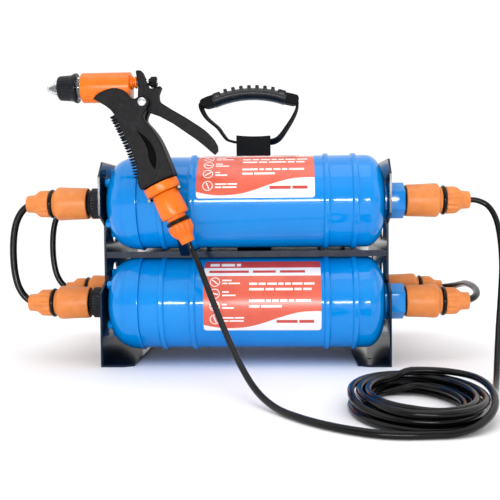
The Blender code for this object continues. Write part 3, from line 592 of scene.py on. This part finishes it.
def shellProfile():
    r, half = unit["radius"], unit["half"]
    line = [(-116.0, 0.0), (-116.0, r)]
    for at in shell["ribs"]:
        edge = shell["ribHalf"]
        line += [(at - edge, r), (at - edge + 0.7, r + 1.3), (at - edge + 1.7, r + shell["ribRise"]),
                 (at + edge - 1.7, r + shell["ribRise"]), (at + edge - 0.7, r + 1.3), (at + edge, r)]
    a, b = shell["end"]
    return line + curveOf((half - a, r - b), (a, b), 90, 0, 12) + [(half, 0.0)]


def capProfile():
    half, lip, (a, b) = unit["half"], cap["lip"], cap["dome"]
    line = [(-half, 0.0)] + curveOf((-half + a, cap["shoulder"] - b), (a, b), 180, 90, 12)
    return line + [(cap["seam"] + 0.5, 45.6), (cap["seam"] + 1.6, 46.1), (lip - 3.0, 46.8),
                   (lip - 1.6, 47.5), (lip - 0.4, 47.4), (lip, 46.8), (lip, 45.7), (lip - 8.0, 45.0),
                   (lip - 8.0, 0.0)]


for name, (y, z) in cartridges.items():
    bm = lathe(shellProfile(), 112)
    roundEdges(bm, 0.35, angle=20, segments=2)
    addPiece(put(bm, (0, y, z)), name + "_ribbedShell", bluePolypropylene, "stand", [name + "_shell"])
    bm = bmesh.new()
    corner = hexagon["flats"] / math.sqrt(3)
    bmesh.ops.create_circle(bm, cap_ends=True, segments=6, radius=corner * mm)
    thicken(bm, (0, 0, (hexagon["end"] - hexagon["start"]) * mm))
    roundEdges(bm, 0.7, segments=3)
    turn = Matrix.Rotation(math.radians(90), 3, "Y") @ Matrix.Rotation(math.radians(90), 3, "Z")
    put(bm, (hexagon["start"], y, z), turn)
    addPiece(bm, name + "_hexagon", bluePolypropylene, "stand", [name + "_shell"])
    bm = lathe(capProfile(), 112)
    for degrees in cap["lugs"]:
        swing = Matrix.Rotation(math.radians(degrees + 180), 3, "X")
        addBlock(bm, (9.0, 7.0, 6.0), swing @ Vector((-131.0, cap["lugAt"], 0.0)), swing, 1.2)
    addPiece(put(bm, (0, y, z)), name + "_domedCap", bluePolypropylene, "stand", [name + "_end_cap"])
print("cartridges turned")


# Quick connectors: adaptor, pull-back collar, seal ring and a tail with its fluted nut
fitting = {
    "adaptor": [(140.4, 10.0), (140.4, 16.0), (142.6, 16.0), (143.4, 15.4), (153.6, 15.4), (154.6, 13.6),
                (157.6, 13.0), (157.6, 8.4), (181.0, 8.4), (181.0, 5.2), (150.0, 5.2)],
    "flange": [(150.0, 6.0), (156.6, 6.0), (156.6, 15.0), (157.8, 14.6), (157.8, 8.4), (181.0, 8.4),
               (181.0, 5.2), (150.0, 5.2)],
    "collar": [(158.2, 15.2), (159.4, 15.7), (176.0, 16.2), (186.0, 16.8), (188.6, 16.5), (190.0, 15.2),
               (190.2, 14.0), (190.2, 13.3), (158.2, 13.3)],
    "nutRibs": 13,
    "ring": (195.0, 12.7, 1.95),
}


def tailProfile(mouth):
    return [(159.4, 9.0), (159.4, 12.7), (193.2, 12.7), (193.2, 11.2), (197.2, 11.2), (197.2, 12.9),
            (198.3, 13.6), (206.4, 13.4), (208.6, 12.6), (211.6, 9.9), (213.6, 9.0), (218.0, 8.6),
            (219.9, 8.6), (220.6, 8.0), (220.6, mouth), (206.0, mouth), (206.0, 5.0), (182.0, 5.0),
            (182.0, 9.0)]


def sealRing(along, radius, thick):
    bm = bmesh.new()
    turn = Matrix.Rotation(math.radians(90), 4, "X")
    bmesh.ops.create_circle(bm, segments=14, radius=thick * mm,
                            matrix=Matrix.Translation((along * mm, 0, radius * mm)) @ turn)
    bmesh.ops.spin(bm, geom=bm.verts[:] + bm.edges[:], cent=(0, 0, 0), axis=(1, 0, 0), angle=2 * math.pi,
                   steps=72, use_merge=True)
    bmesh.ops.remove_doubles(bm, verts=bm.verts, dist=1e-7)
    return bm


mouths = {"upper_front_right": 2.95, "upper_rear_right": 5.6}
for name, (y, z) in cartridges.items():
    for side, turn in (("left", Matrix.Rotation(math.pi, 3, "Z")), ("right", Matrix.Identity(3))):
        at, part = (0, y, z), name + "_" + side
        bm = lathe(fitting["adaptor"] if side == "left" else fitting["flange"], 120, 0.3)
        if side == "left":
            flute(bm, 143.6, 153.4, 30, 0.7, 12.0)
        addPiece(put(bm, at, turn), part + "_socket", blackNylon, "stand", [part + "_adaptor"])
        bm = lathe(fitting["collar"], 96, 0.4)
        addPiece(put(bm, at, turn), part + "_pullCollar", fittingAbs, part + "_release", [part + "_collar"])
        bm = lathe(tailProfile(mouths.get(part, 3.7)), 104, 0.35)
        flute(bm, 198.0, 208.8, fitting["nutRibs"], 1.3, 9.0)
        addPiece(put(bm, at, turn), part + "_nutTail", fittingAbs, "stand", [part + "_tail"])
        bm = put(sealRing(*fitting["ring"]), at, turn)
        addPiece(bm, part + "_sealRing", sealRubber, "stand", ())
print("connectors turned")


# Polyester webbing, woven: ribs across the strap and finer threads along it
webbing, tree, shader, place = newFinish("wovenPolyester", "#0E0E10", 0.75, Specular_IOR_Level=0.14)
mottle(tree, shader, place, ("#09090B", "#151517"), 2.2)
threads = addNode(tree, "TexWave", {"Vector": place}, {"Scale": 260.0, "Distortion": 0.6, "Detail": 1.0},
                  bands_direction="X")
picks = addNode(tree, "TexWave", {"Vector": place}, {"Scale": 190.0, "Distortion": 0.6, "Detail": 1.0},
                bands_direction="Z")
weave = addNode(tree, "Math", {0: threads.outputs["Fac"], 1: picks.outputs["Fac"]}, operation="MULTIPLY")
bump = addNode(tree, "Bump", {"Height": weave.outputs["Value"]}, {"Strength": 1.0, "Distance": 0.16 * mm})
tree.links.new(bump.outputs["Normal"], shader.inputs["Normal"])


# Carrying handle: bowed rubber grip with teeth, on a webbing strap that hangs in a stitched band
handle = {
    "at": (5.0, unit["middle"], 225.0),
    "half": 39.4,  # half the grip's length
    "middle": (-3.1, 50.9),
    "sag": 7.4,  # how far the grip bows
    "tilt": 1.5,  # degrees
    "tall": 6.4,  # half its height, and below half its depth
    "deep": 11.4,
    "teeth": 7,
    "pitch": 8.1,
    "rightStrap": [(44.0, 45.0), (48.2, 44.5), (48.6, 40.0), (47.4, 33.0), (43.2, 24.0), (36.5, 13.5),
                   (30.0, 4.6), (24.5, 0.6), (18.6, -0.6), (8.0, -0.3)],
    "leftStrap": [(-48.0, 41.5), (-54.4, 41.0), (-55.2, 37.5), (-52.6, 31.0), (-47.6, 24.2), (-37.4, 15.4),
                  (-32.0, 8.0), (-27.4, 2.4), (-22.0, 0.4), (-18.4, -0.4), (-8.0, -0.3)],
    "rightFold": [(34.0, 51.6), (42.2, 50.0), (48.8, 48.1), (50.2, 44.9), (48.6, 38.8), (43.2, 38.3),
                  (34.0, 40.4)],
    "leftFold": [(-40.5, 50.4), (-48.1, 48.1), (-53.7, 45.8), (-56.3, 43.6), (-55.0, 38.6), (-51.4, 36.9),
                 (-47.7, 36.4), (-40.5, 38.2)],
}
bend = (handle["half"] ** 2 + handle["sag"] ** 2) / (2 * handle["sag"])
spread = math.asin(handle["half"] / bend)
centre = Vector((handle["middle"][0], 0.0, handle["middle"][1] - bend)) * mm
lean = Matrix.Rotation(-math.radians(handle["tilt"]), 4, "Y")
gripMiddle = Vector((handle["middle"][0], 0.0, handle["middle"][1])) * mm
tilted = Matrix.Translation(gripMiddle) @ lean @ Matrix.Translation(-gripMiddle)
bm = bmesh.new()
section = bmesh.ops.create_circle(bm, cap_ends=True, segments=28, radius=1.0)["verts"]
arcStart = (Matrix.Translation(centre) @ Matrix.Rotation(-spread, 4, "Y")
            @ Matrix.Translation((0, 0, bend * mm)) @ Matrix.Rotation(math.radians(90), 4, "Y")
            @ Matrix.Diagonal((handle["tall"] * mm, handle["deep"] * mm, 1, 1)))
bmesh.ops.transform(bm, matrix=arcStart, verts=section)
bmesh.ops.spin(bm, geom=list(bm.faces), cent=centre, axis=(0, 1, 0), angle=2 * spread, steps=36)
bmesh.ops.remove_doubles(bm, verts=bm.verts, dist=1e-7)
bmesh.ops.recalc_face_normals(bm, faces=bm.faces)
roundEdges(bm, 0.9, angle=50, segments=3)
count = handle["teeth"]
for i in range(-1, count + 1):
    offset = (i - (count - 1) / 2) * handle["pitch"] + (-1.6 if i < 0 else 1.6 if i == count else 0.0)
    turn = Matrix.Rotation(offset / bend, 3, "Y")
    wide, tall = (9.4, 7.4) if i in (-1, count) else (3.8, 7.6)
    out = bend + handle["tall"] + (2.1 if wide < 5 else 1.2) - tall / 2
    at = centre / mm + turn @ Vector((0, 0, out))
    addBlock(bm, (wide, 17.0 if wide < 5 else 21.0, tall), at, turn, 0.7 if wide < 5 else 1.8)
bmesh.ops.transform(bm, matrix=tilted, verts=bm.verts)
addPiece(put(bm, handle["at"]), "bowedGrip", handleRubber, "handle", ["handle_grip"])
for side in ("left", "right"):
    path = [(p.x, p.z) for p in smoothLine([(x, 0.0, z) for x, z in handle[side + "Strap"]], 1.5)]
    bm = ribbon(path, 12.0, 2.3, (0.0, 24.0) if side == "right" else (14.0, 4.0))
    for v in bm.verts:
        # the strap gathers where it goes through the band
        spare = min(max((abs(v.co.x) / mm - 18.0) / 9.0, 0.0), 1.0)
        v.co.y *= spare * 0.56 + 0.44 if v.co.z < 10 * mm else 1.0
    addPiece(put(bm, handle["at"]), side + "Strap", webbing, "handle", ["handle_strap"])
    bm = slab(handle[side + "Fold"], 9.5)
    bm = soften(bm, side + "Fold", 0.6, 6)
    addPiece(put(bm, handle["at"]), side + "StrapFold", webbing, "handle", ["handle_strap"])
band = {"half": 18.2, "deep": 7.3, "low": 109.0, "top": 231.3, "corner": 3.0, "thick": 1.6}
bandMiddle, bandHalf = (band["low"] + band["top"]) / 2, (band["top"] - band["low"]) / 2
outline = []
for cy, cz, first in ((1, 1, 0), (-1, 1, 90), (-1, -1, 180), (1, -1, 270)):
    corner = (cy * (band["deep"] - band["corner"]), bandMiddle + cz * (bandHalf - band["corner"]))
    outline += curveOf(corner, (band["corner"], band["corner"]), first, first + 90, 5)
bm, columns = bmesh.new(), 12
along = [(2 * c / columns - 1) * band["half"] for c in range(columns + 1)]
rows = [[bm.verts.new((x * mm, y * mm, z * mm)) for x in along] for y, z in outline]
for a, b in zip(rows, rows[1:] + rows[:1]):
    for c in range(columns):
        bm.faces.new((a[c], a[c + 1], b[c + 1], b[c]))
bmesh.ops.recalc_face_normals(bm, faces=bm.faces)
# the top of the band sags under the strap
for v in bm.verts:
    if v.co.z > 0.9 * band["top"] * mm:
        across = v.co.x / mm / band["half"]
        v.co.z -= (1.0 - (across - 0.15) ** 2) * mm
bmesh.ops.solidify(bm, geom=bm.faces[:], thickness=band["thick"] * mm)
put(bm, (handle["at"][0] + 0.9, handle["at"][1], 0.0))
addPiece(bm, "wovenBand", webbing, "stand", ["handle_band"])
print("handle made")


# Spray gun, set out from the pin that the lever turns on
gun = {
    "pin": (-88.0, -119.25, 248.4),
    "half": 14.6,
    "barrel": (-56.9, -12.0, 13.6, 15.3),  # from, to, radius, height
    "stem": 19.6,
    "foot": (-75.1, -119.25, 175.9),
    "lean": 25.0,
    "grip": [(-44.4, 3.5), (-41.8, 6.6), (-38.2, 9.0), (-34.8, 10.7), (-31.2, 11.9), (-27.4, 12.8),
             (-23.5, 12.9), (-20.4, 12.3), (-17.5, 11.2), (-14.8, 9.4), (-12.5, 7.5), (-10.9, 4.4),
             (-9.0, 2.6), (-5.4, 3.6), (-2.0, 5.6), (1.6, 5.8), (4.6, 3.8), (6.2, 0.0), (4.4, -5.0),
             (2.6, -8.0), (1.2, -11.2), (0.6, -14.0), (2.4, -16.8), (6.4, -21.0), (10.8, -26.5),
             (14.4, -32.5), (17.5, -38.8), (20.2, -45.0), (22.4, -51.0), (25.2, -58.2), (28.0, -64.8),
             (-2.6, -78.9), (-5.0, -73.0), (-5.7, -68.0), (-4.6, -66.9), (-6.2, -56.6), (-9.2, -46.9),
             (-12.6, -38.2), (-16.5, -29.9), (-21.0, -20.0), (-25.6, -10.6), (-28.6, -6.6), (-32.1, -3.8),
             (-36.0, -1.0), (-40.6, 1.6)],
    "recess": [(-5.4, -24.6), (3.0, -31.5), (7.0, -36.0), (9.8, -40.4), (11.6, -45.0), (12.5, -49.6),
               (12.2, -55.0), (11.0, -60.8), (8.6, -57.2), (6.4, -53.4), (5.2, -49.2), (4.9, -45.2),
               (4.0, -41.3), (2.2, -36.8), (-0.9, -31.6)],
    "front": [(-27.6, -10.2), (-23.2, -19.4), (-18.7, -29.0), (-14.8, -37.6), (-11.3, -46.4), (-8.2, -56.2),
              (-6.0, -66.6)],
    "fins": 22,
    "lever": [(-7.2, 29.0), (-6.2, 30.0), (-2.6, 29.9), (-1.2, 28.6), (2.2, 21.2), (4.0, 15.2), (5.6, 13.4),
              (8.4, 13.6), (15.2, 15.6), (16.0, 14.6), (13.8, 9.2), (13.4, 7.1), (13.8, 3.2), (15.6, 0.4),
              (25.4, -5.8), (38.0, -13.2), (49.9, -21.0), (55.4, -25.0), (59.7, -29.0), (63.6, -33.6),
              (66.5, -38.8), (66.8, -43.6), (63.8, -47.0), (60.4, -44.4), (54.9, -39.4), (46.2, -32.4),
              (37.7, -26.5), (25.4, -17.9), (13.2, -11.2), (3.4, -7.6), (0.0, -7.0), (-4.5, -5.0),
              (-6.2, 0.0), (-5.6, 5.0), (-5.2, 15.1), (-6.0, 22.0)],
}
pin = Vector(gun["pin"])
barrelFrom, barrelTo, barrelRadius, barrelHeight = gun["barrel"]
barrelAt = pin + Vector((0, 0, barrelHeight))
stemAt = pin + Vector((0, 0, gun["stem"]))
crosswise = Matrix.Rotation(math.radians(90), 3, "Z")

bm = lathe([(barrelFrom, 9.6), (barrelFrom, barrelRadius), (barrelTo, barrelRadius), (barrelTo, 0.0),
            (barrelTo - 4.0, 0.0), (barrelTo - 4.0, 9.6)], 96, 1.0, 3)
addPiece(put(bm, barrelAt), "polishedBarrel", gunAbs, "spray_gun", ["gun_barrel"])
bm = lathe([(barrelTo - 1.0, 2.3), (barrelTo - 1.0, 6.4), (barrelTo + 1.6, 6.2), (barrelTo + 2.2, 4.6),
            (barrelTo + 3.2, 4.4), (barrelTo + 3.8, 5.5), (barrelTo + 5.4, 5.4), (barrelTo + 5.4, 2.3)],
           64, 0.3)
addPiece(put(bm, stemAt), "stemGland", gunAbs, "spray_gun", ["gun_barrel"])

bm = soften(slab(gun["grip"], gun["half"]), "grip", 0.85, 9)
cutter = put(lathe([(-70.0, 0.0), (-70.0, 13.66), (-11.9, 13.66), (-11.9, 0.0)], 96), (0, 0, barrelHeight))
bm = carve(bm, cutter, "grip")
cutter = bmesh.new()
addBlock(cutter, (25.0, 10.8, 29.0), (3.2, 0.0, -0.9))
bm = carve(bm, cutter, "gripSlot")
for side in (-1, 1):
    cutter = put(soften(slab(gun["recess"], 7.0), "recess", 0.5, 3), (0, side * (gun["half"] + 0.6), 0))
    bm = carve(bm, cutter, "gripRecess")
    # painted shade: a thin dead black rubber sheet on each recess floor stands in for the shade in the recess
    shadeLining = put(soften(slab(gun["recess"], 2.0), "shadeLining", 0.5, 2),
                 pin + Vector((0, side * (gun["half"] - 3.6), 0)))
    addPiece(shadeLining, "recessShadeLining" + ("Front" if side < 0 else "Rear"), recessShadeRubber, "spray_gun")
addPiece(put(bm, pin), "mouldedGrip", gripRubber, "spray_gun", ["gun_grip"], 35)

bm = bmesh.new()
line = smoothLine([(x, 0.0, z) for x, z in gun["front"]], 0.5)
for i in range(gun["fins"]):
    k = round((len(line) - 3) * i / (gun["fins"] - 1)) + 1
    along = (line[k + 1] - line[k - 1]).normalized()
    slope = math.atan2(-along.x, -along.z)
    turn = Matrix.Rotation(slope, 3, "Y")
    inward = turn @ Vector((1, 0, 0))
    addBlock(bm, (12.6, 10.0, 1.1), line[k] + inward * 1.9, turn, 0.35)
    addBlock(bm, (6.0, 28.9, 1.1), line[k] + inward * 5.6, turn, 0.35)
addPiece(put(bm, pin), "gripFins", gripRubber, "spray_gun", ["gun_grip"])

bm = lathe([(-16.2, 0.0), (-16.2, 2.6), (-15.7, 3.6), (-14.8, 4.0), (-14.5, 4.0), (-14.5, 1.95),
            (14.0, 1.95), (14.0, 0.0)], 56)
addPiece(put(bm, pin, crosswise), "pinHead", turnedSteel, "spray_gun", ["trigger_pin"])

bm = soften(slab(gun["lever"], 5.0), "lever", 0.6, 5)
cutter = lathe([(-9.0, 0.0), (-9.0, 2.1), (9.0, 2.1), (9.0, 0.0)], 48)
bm = carve(bm, put(cutter, (0, 0, 0), crosswise), "leverPin")
cutter = bmesh.new()
addBlock(cutter, (18.0, 5.2, 18.0), (-1.0, 0.0, 24.2))
bm = carve(bm, cutter, "leverFork")
addPiece(put(bm, pin), "squeezeLever", gripRubber, "trigger", ["trigger_lever"], 35)

bm = lathe([(4.2, 2.1), (4.2, 3.4), (5.6, 3.6), (6.2, 5.0), (10.8, 5.2), (11.6, 4.6), (11.6, 2.1)],
           96, 0.25)
flute(bm, 5.9, 11.7, 10, 0.9, 4.0)
addPiece(put(bm, stemAt), "flutedKnob", gripRubber, "knob", ["flow_knob"])

# Nozzle: clear body with a dark jet inside, and the black collar that turns on it
front = barrelFrom
bm = lathe([(front + 8.0, 9.4), (front - 0.2, 9.4), (front - 0.2, 10.4), (front - 3.6, 10.4),
            (front - 3.6, 8.1), (front - 22.6, 8.1), (front - 25.0, 6.8), (front - 29.0, 4.4),
            (front - 32.5, 2.4), (front - 32.5, 1.2), (front - 28.5, 2.8), (front - 24.0, 5.2),
            (front + 8.0, 5.5)], 80, 0.25)
addPiece(put(bm, barrelAt), "clearNozzle", clearPlastic, "nozzle", ["nozzle_tip"])
bm = lathe([(front + 6.0, 0.0), (front + 6.0, 3.4), (front - 24.0, 3.4), (front - 30.6, 1.1),
            (front - 30.6, 0.0)], 48, 0.3)
addPiece(put(bm, barrelAt), "jet", blackNylon, "nozzle")
bm = lathe([(front - 4.2, 8.7), (front - 4.2, 13.2), (front - 5.0, 13.6), (front - 6.6, 13.4),
            (front - 9.2, 12.0), (front - 12.0, 11.6), (front - 20.4, 11.1), (front - 21.6, 10.2),
            (front - 22.0, 9.2), (front - 22.0, 8.7)], 96, 0.3)
flute(bm, front - 20.8, front - 9.6, 24, 0.45, 10.0)
addPiece(put(bm, barrelAt), "nozzleGrip", blackNylon, "nozzle", ["nozzle_collar"])

# Quick connector at the foot of the grip, along the grip's own axis
downward = Matrix.Rotation(math.radians(90 - gun["lean"]), 3, "Y")
bm = lathe([(0.3, 3.5), (0.3, 16.2), (1.0, 16.6), (7.6, 16.3), (9.0, 15.4), (9.0, 6.0), (26.0, 6.0),
            (26.0, 3.5)], 96, 0.5)
addPiece(put(bm, gun["foot"], downward), "footFlange", gunAbs, "spray_gun", ["gun_inlet"])
bm = lathe([(9.6, 9.4), (9.6, 12.2), (10.4, 12.6), (29.0, 13.3), (32.0, 13.2), (33.3, 12.2), (33.5, 11.4),
            (33.5, 9.4)], 96, 0.3)
addPiece(put(bm, gun["foot"], downward), "footCollar", gunAbs, "gun_hose_collar", ["gun_collar"])
bm = lathe([(11.0, 6.2), (11.0, 9.1), (36.0, 9.1), (36.0, 8.5), (41.0, 8.5), (41.0, 11.2), (42.0, 11.6),
            (47.6, 11.4), (49.8, 10.4), (53.6, 7.6), (55.4, 6.9), (59.4, 6.5), (60.0, 6.0), (60.0, 2.8),
            (27.5, 2.8), (27.5, 6.2)], 104, 0.3)
flute(bm, 41.8, 50.0, 11, 1.2, 8.0)
addPiece(put(bm, gun["foot"], downward), "footNut", gunAbs, "spray_gun", ["gun_tail"])
bm = put(sealRing(38.4, 9.7, 1.7), gun["foot"], downward)
addPiece(bm, "footSealRing", sealRubber, "spray_gun")
print("gun made")


# Labels: a white film with a red print on it, and white and red shapes over that.
# There is no lettering: dashes stand for words.
labelFilm, tree, shader, place = newFinish("glossPaperLabel", "#E4E0E2", 0.3, Coat_Weight=0.3,
                                           Coat_Roughness=0.2)
mottle(tree, shader, place, ("#E0DCDE", "#E8E5E6"), 20)
redPrint, tree, shader, place = newFinish("offsetPrintRed", "#D0523A", 0.3, Coat_Weight=0.3,
                                          Coat_Roughness=0.2)
mottle(tree, shader, place, ("#CC4D36", "#D65C44"), 26)
deepPrint, tree, shader, place = newFinish("offsetPrintDeepRed", "#BC3A30", 0.3, Coat_Weight=0.3,
                                           Coat_Roughness=0.2)
mottle(tree, shader, place, ("#B8352B", "#C24036"), 26)
whitePrint, tree, shader, place = newFinish("offsetPrintWhite", "#EDE4E2", 0.3, Coat_Weight=0.3,
                                            Coat_Roughness=0.2)
mottle(tree, shader, place, ("#EAE0DE", "#F0E8E6"), 12)

label = {
    "wide": 112.0,
    "tall": 75.4,
    "corner": 3.0,
    # left edge, and degrees from the front up to the top edge
    "front": {"upper": (-44.6, 99.0), "lower": (-39.0, 65.0)},
}


def barShape(x, y, wide, tall):
    return [(x, y), (x + wide, y), (x + wide, y + tall), (x, y + tall)]


def wordShapes(x, y, words, tall, gap=1.5):
    # a run of dashes, one for each word of a line
    shapes = []
    for wide in words:
        shapes.append(barShape(x, y - tall / 2, wide, tall))
        x += wide + gap
    return shapes


def discShape(x, y, radius, steps=20):
    turns = [2 * math.pi * i / steps for i in range(steps)]
    return [(x + radius * math.cos(t), y + radius * math.sin(t)) for t in turns]


def ringShapes(x, y, radius, thick, steps=28):
    outer, inner = discShape(x, y, radius, steps), discShape(x, y, radius - thick, steps)
    return [[outer[i], outer[(i + 1) % steps], inner[(i + 1) % steps], inner[i]] for i in range(steps)]


def layLabel(shapes, low, high, name, material, corner, row):
    # flat shapes, measured from the label's top left corner, bent round the cartridge and given thickness
    y, z, turn = row
    bm = bmesh.new()
    for shape in shapes:
        bm.faces.new([bm.verts.new((u * mm, v * mm, 0.0)) for u, v in shape])
    bmesh.ops.remove_doubles(bm, verts=bm.verts, dist=1e-6)
    bmesh.ops.recalc_face_normals(bm, faces=bm.faces)
    bmesh.ops.triangulate(bm, faces=bm.faces[:])
    slices = int(label["tall"] / 2.0)
    for i in range(1, slices):
        bmesh.ops.bisect_plane(bm, geom=bm.verts[:] + bm.edges[:] + bm.faces[:],
                               plane_co=(0, label["tall"] * mm * i / slices, 0), plane_no=(0, 1, 0),
                               dist=1e-7)
    thicken(bm, (0, 0, (high - low) * mm))
    for v in bm.verts:
        r = unit["radius"] * mm + low * mm + v.co.z
        angle = math.radians(corner[1]) - v.co.y / (unit["radius"] * mm)
        v.co = ((corner[0] * mm) + v.co.x, -r * math.cos(angle), r * math.sin(angle))
    bmesh.ops.recalc_face_normals(bm, faces=bm.faces)
    return addPiece(put(bm, (0, y, z), turn), name, material, "stand", (), 25)


def labelBase():
    w, t, c = label["wide"], label["tall"], label["corner"]
    return (curveOf((c, c), (c, c), 180, 270, 5) + curveOf((w - c, c), (c, c), 270, 360, 5)
            + curveOf((w - c, t - c), (c, c), 0, 90, 5) + curveOf((c, t - c), (c, c), 90, 180, 5))


def labelField():
    # the red ground: square under the title band, its lower edge a wave that rises to the right
    w, t = label["wide"], label["tall"]
    wave = smoothLine([(w, 0, 0.735 * t), (0.93 * w, 0, 0.735 * t), (0.8 * w, 0, 0.752 * t),
                       (0.64 * w, 0, 0.82 * t), (0.5 * w, 0, 0.895 * t), (0.36 * w, 0, 0.95 * t),
                       (0.2 * w, 0, 0.965 * t), (0.08 * w, 0, 0.945 * t), (0, 0, 0.915 * t)], 2.0)
    return [(0.0, 0.27 * t), (w, 0.27 * t)] + [(p.x, p.z) for p in wave]


def labelTop():
    w, t, c = label["wide"], label["tall"], label["corner"]
    corners = curveOf((c, c), (c, c), 180, 270, 5) + curveOf((w - c, c), (c, c), 270, 360, 5)
    return corners + [(w, 0.135 * t), (0.0, 0.135 * t)]


def labelWhite():
    w, t = label["wide"], label["tall"]
    shapes = wordShapes(0.05 * w, 0.078 * t, (9.0, 13.0, 4.0), 4.2, 1.8)
    for i, y in enumerate((0.357, 0.513, 0.67, 0.84)):
        x = 0.098 * w
        shapes += ringShapes(x, y * t, 4.9, 0.75)
        tilt = (0.7, 0.2, -0.6, 1.2)[i]
        dx, dy = math.cos(tilt) * 3.4, math.sin(tilt) * 3.4
        nx, ny = -math.sin(tilt) * 0.55, math.cos(tilt) * 0.55
        shapes.append([(x - dx + nx, y * t - dy + ny), (x + dx + nx, y * t + dy + ny),
                       (x + dx - nx, y * t + dy - ny), (x - dx - nx, y * t - dy - ny)])
        shapes += wordShapes(0.16 * w, (y - 0.021) * t, ((9.0,), (6.5,), (4.6,), (11.0, 9.0))[i], 1.5, 1.0)
        shapes += wordShapes(0.16 * w, (y + 0.021) * t, ((5.0, 11.0), (13.0,), (11.5,), (6.0, 13.5))[i],
                             1.5, 1.0)
    for y, words in ((0.385, (7.6, 6.6, 9.0, 5.0, 5.4, 9.4, 10.0)), (0.457, (14.0, 8.0, 16.6, 6.6, 8.0)),
                     (0.602, (14.6, 4.4, 6.0, 6.6, 5.0, 14.4)), (0.672, (9.8, 19.6))):
        shapes += wordShapes(0.39 * w, y * t, words, 2.3, 1.5)
    return shapes


for name, (y, z) in cartridges.items():
    tier, row = name.split("_")
    turn = Matrix.Identity(3) if row == "front" else Matrix.Rotation(math.pi, 3, "Z")
    corner = label["front"][tier] if row == "front" else (label["front"][tier][0] - 20.0, 65.0)
    place = (y, z, turn)
    w, t = label["wide"], label["tall"]
    layLabel([labelBase()], 0.02, 0.2, name + "_labelFilm", labelFilm, corner, place)
    layLabel([labelField()], 0.15, 0.27, name + "_labelField", redPrint, corner, place)
    layLabel([labelTop()], 0.15, 0.27, name + "_labelTop", deepPrint, corner, place)
    title = wordShapes(0.045 * w, 0.203 * t, (38.0, 22.0, 24.0), 3.0, 4.0)
    title += wordShapes(0.62 * w, 0.87 * t, (20.0, 14.0), 3.0, 1.6)
    layLabel(title, 0.15, 0.27, name + "_labelTitle", deepPrint, corner, place)
    layLabel(labelWhite(), 0.22, 0.33, name + "_labelMarks", whitePrint, corner, place)
print("labels laid")

# CAD nodes that stay take the same finishes
kept = {"blue_plastic": bluePolypropylene, "orange_plastic": fittingAbs, "black_plastic": blackNylon,
        "clear_plastic": clearPlastic, "painted_steel": paintedSteel, "steel": turnedSteel,
        "resin_beads": resinBeads, "webbing": webbing, "hose_plastic": hosePlastic}
slotOf = {part["node"]: part["material_slot"] for part in frame["record"]["subparts"]}
for name, node in frame["nodes"].items():
    node.data.materials.clear()
    node.data.materials.append(kept[slotOf[name]])

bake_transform(hose)
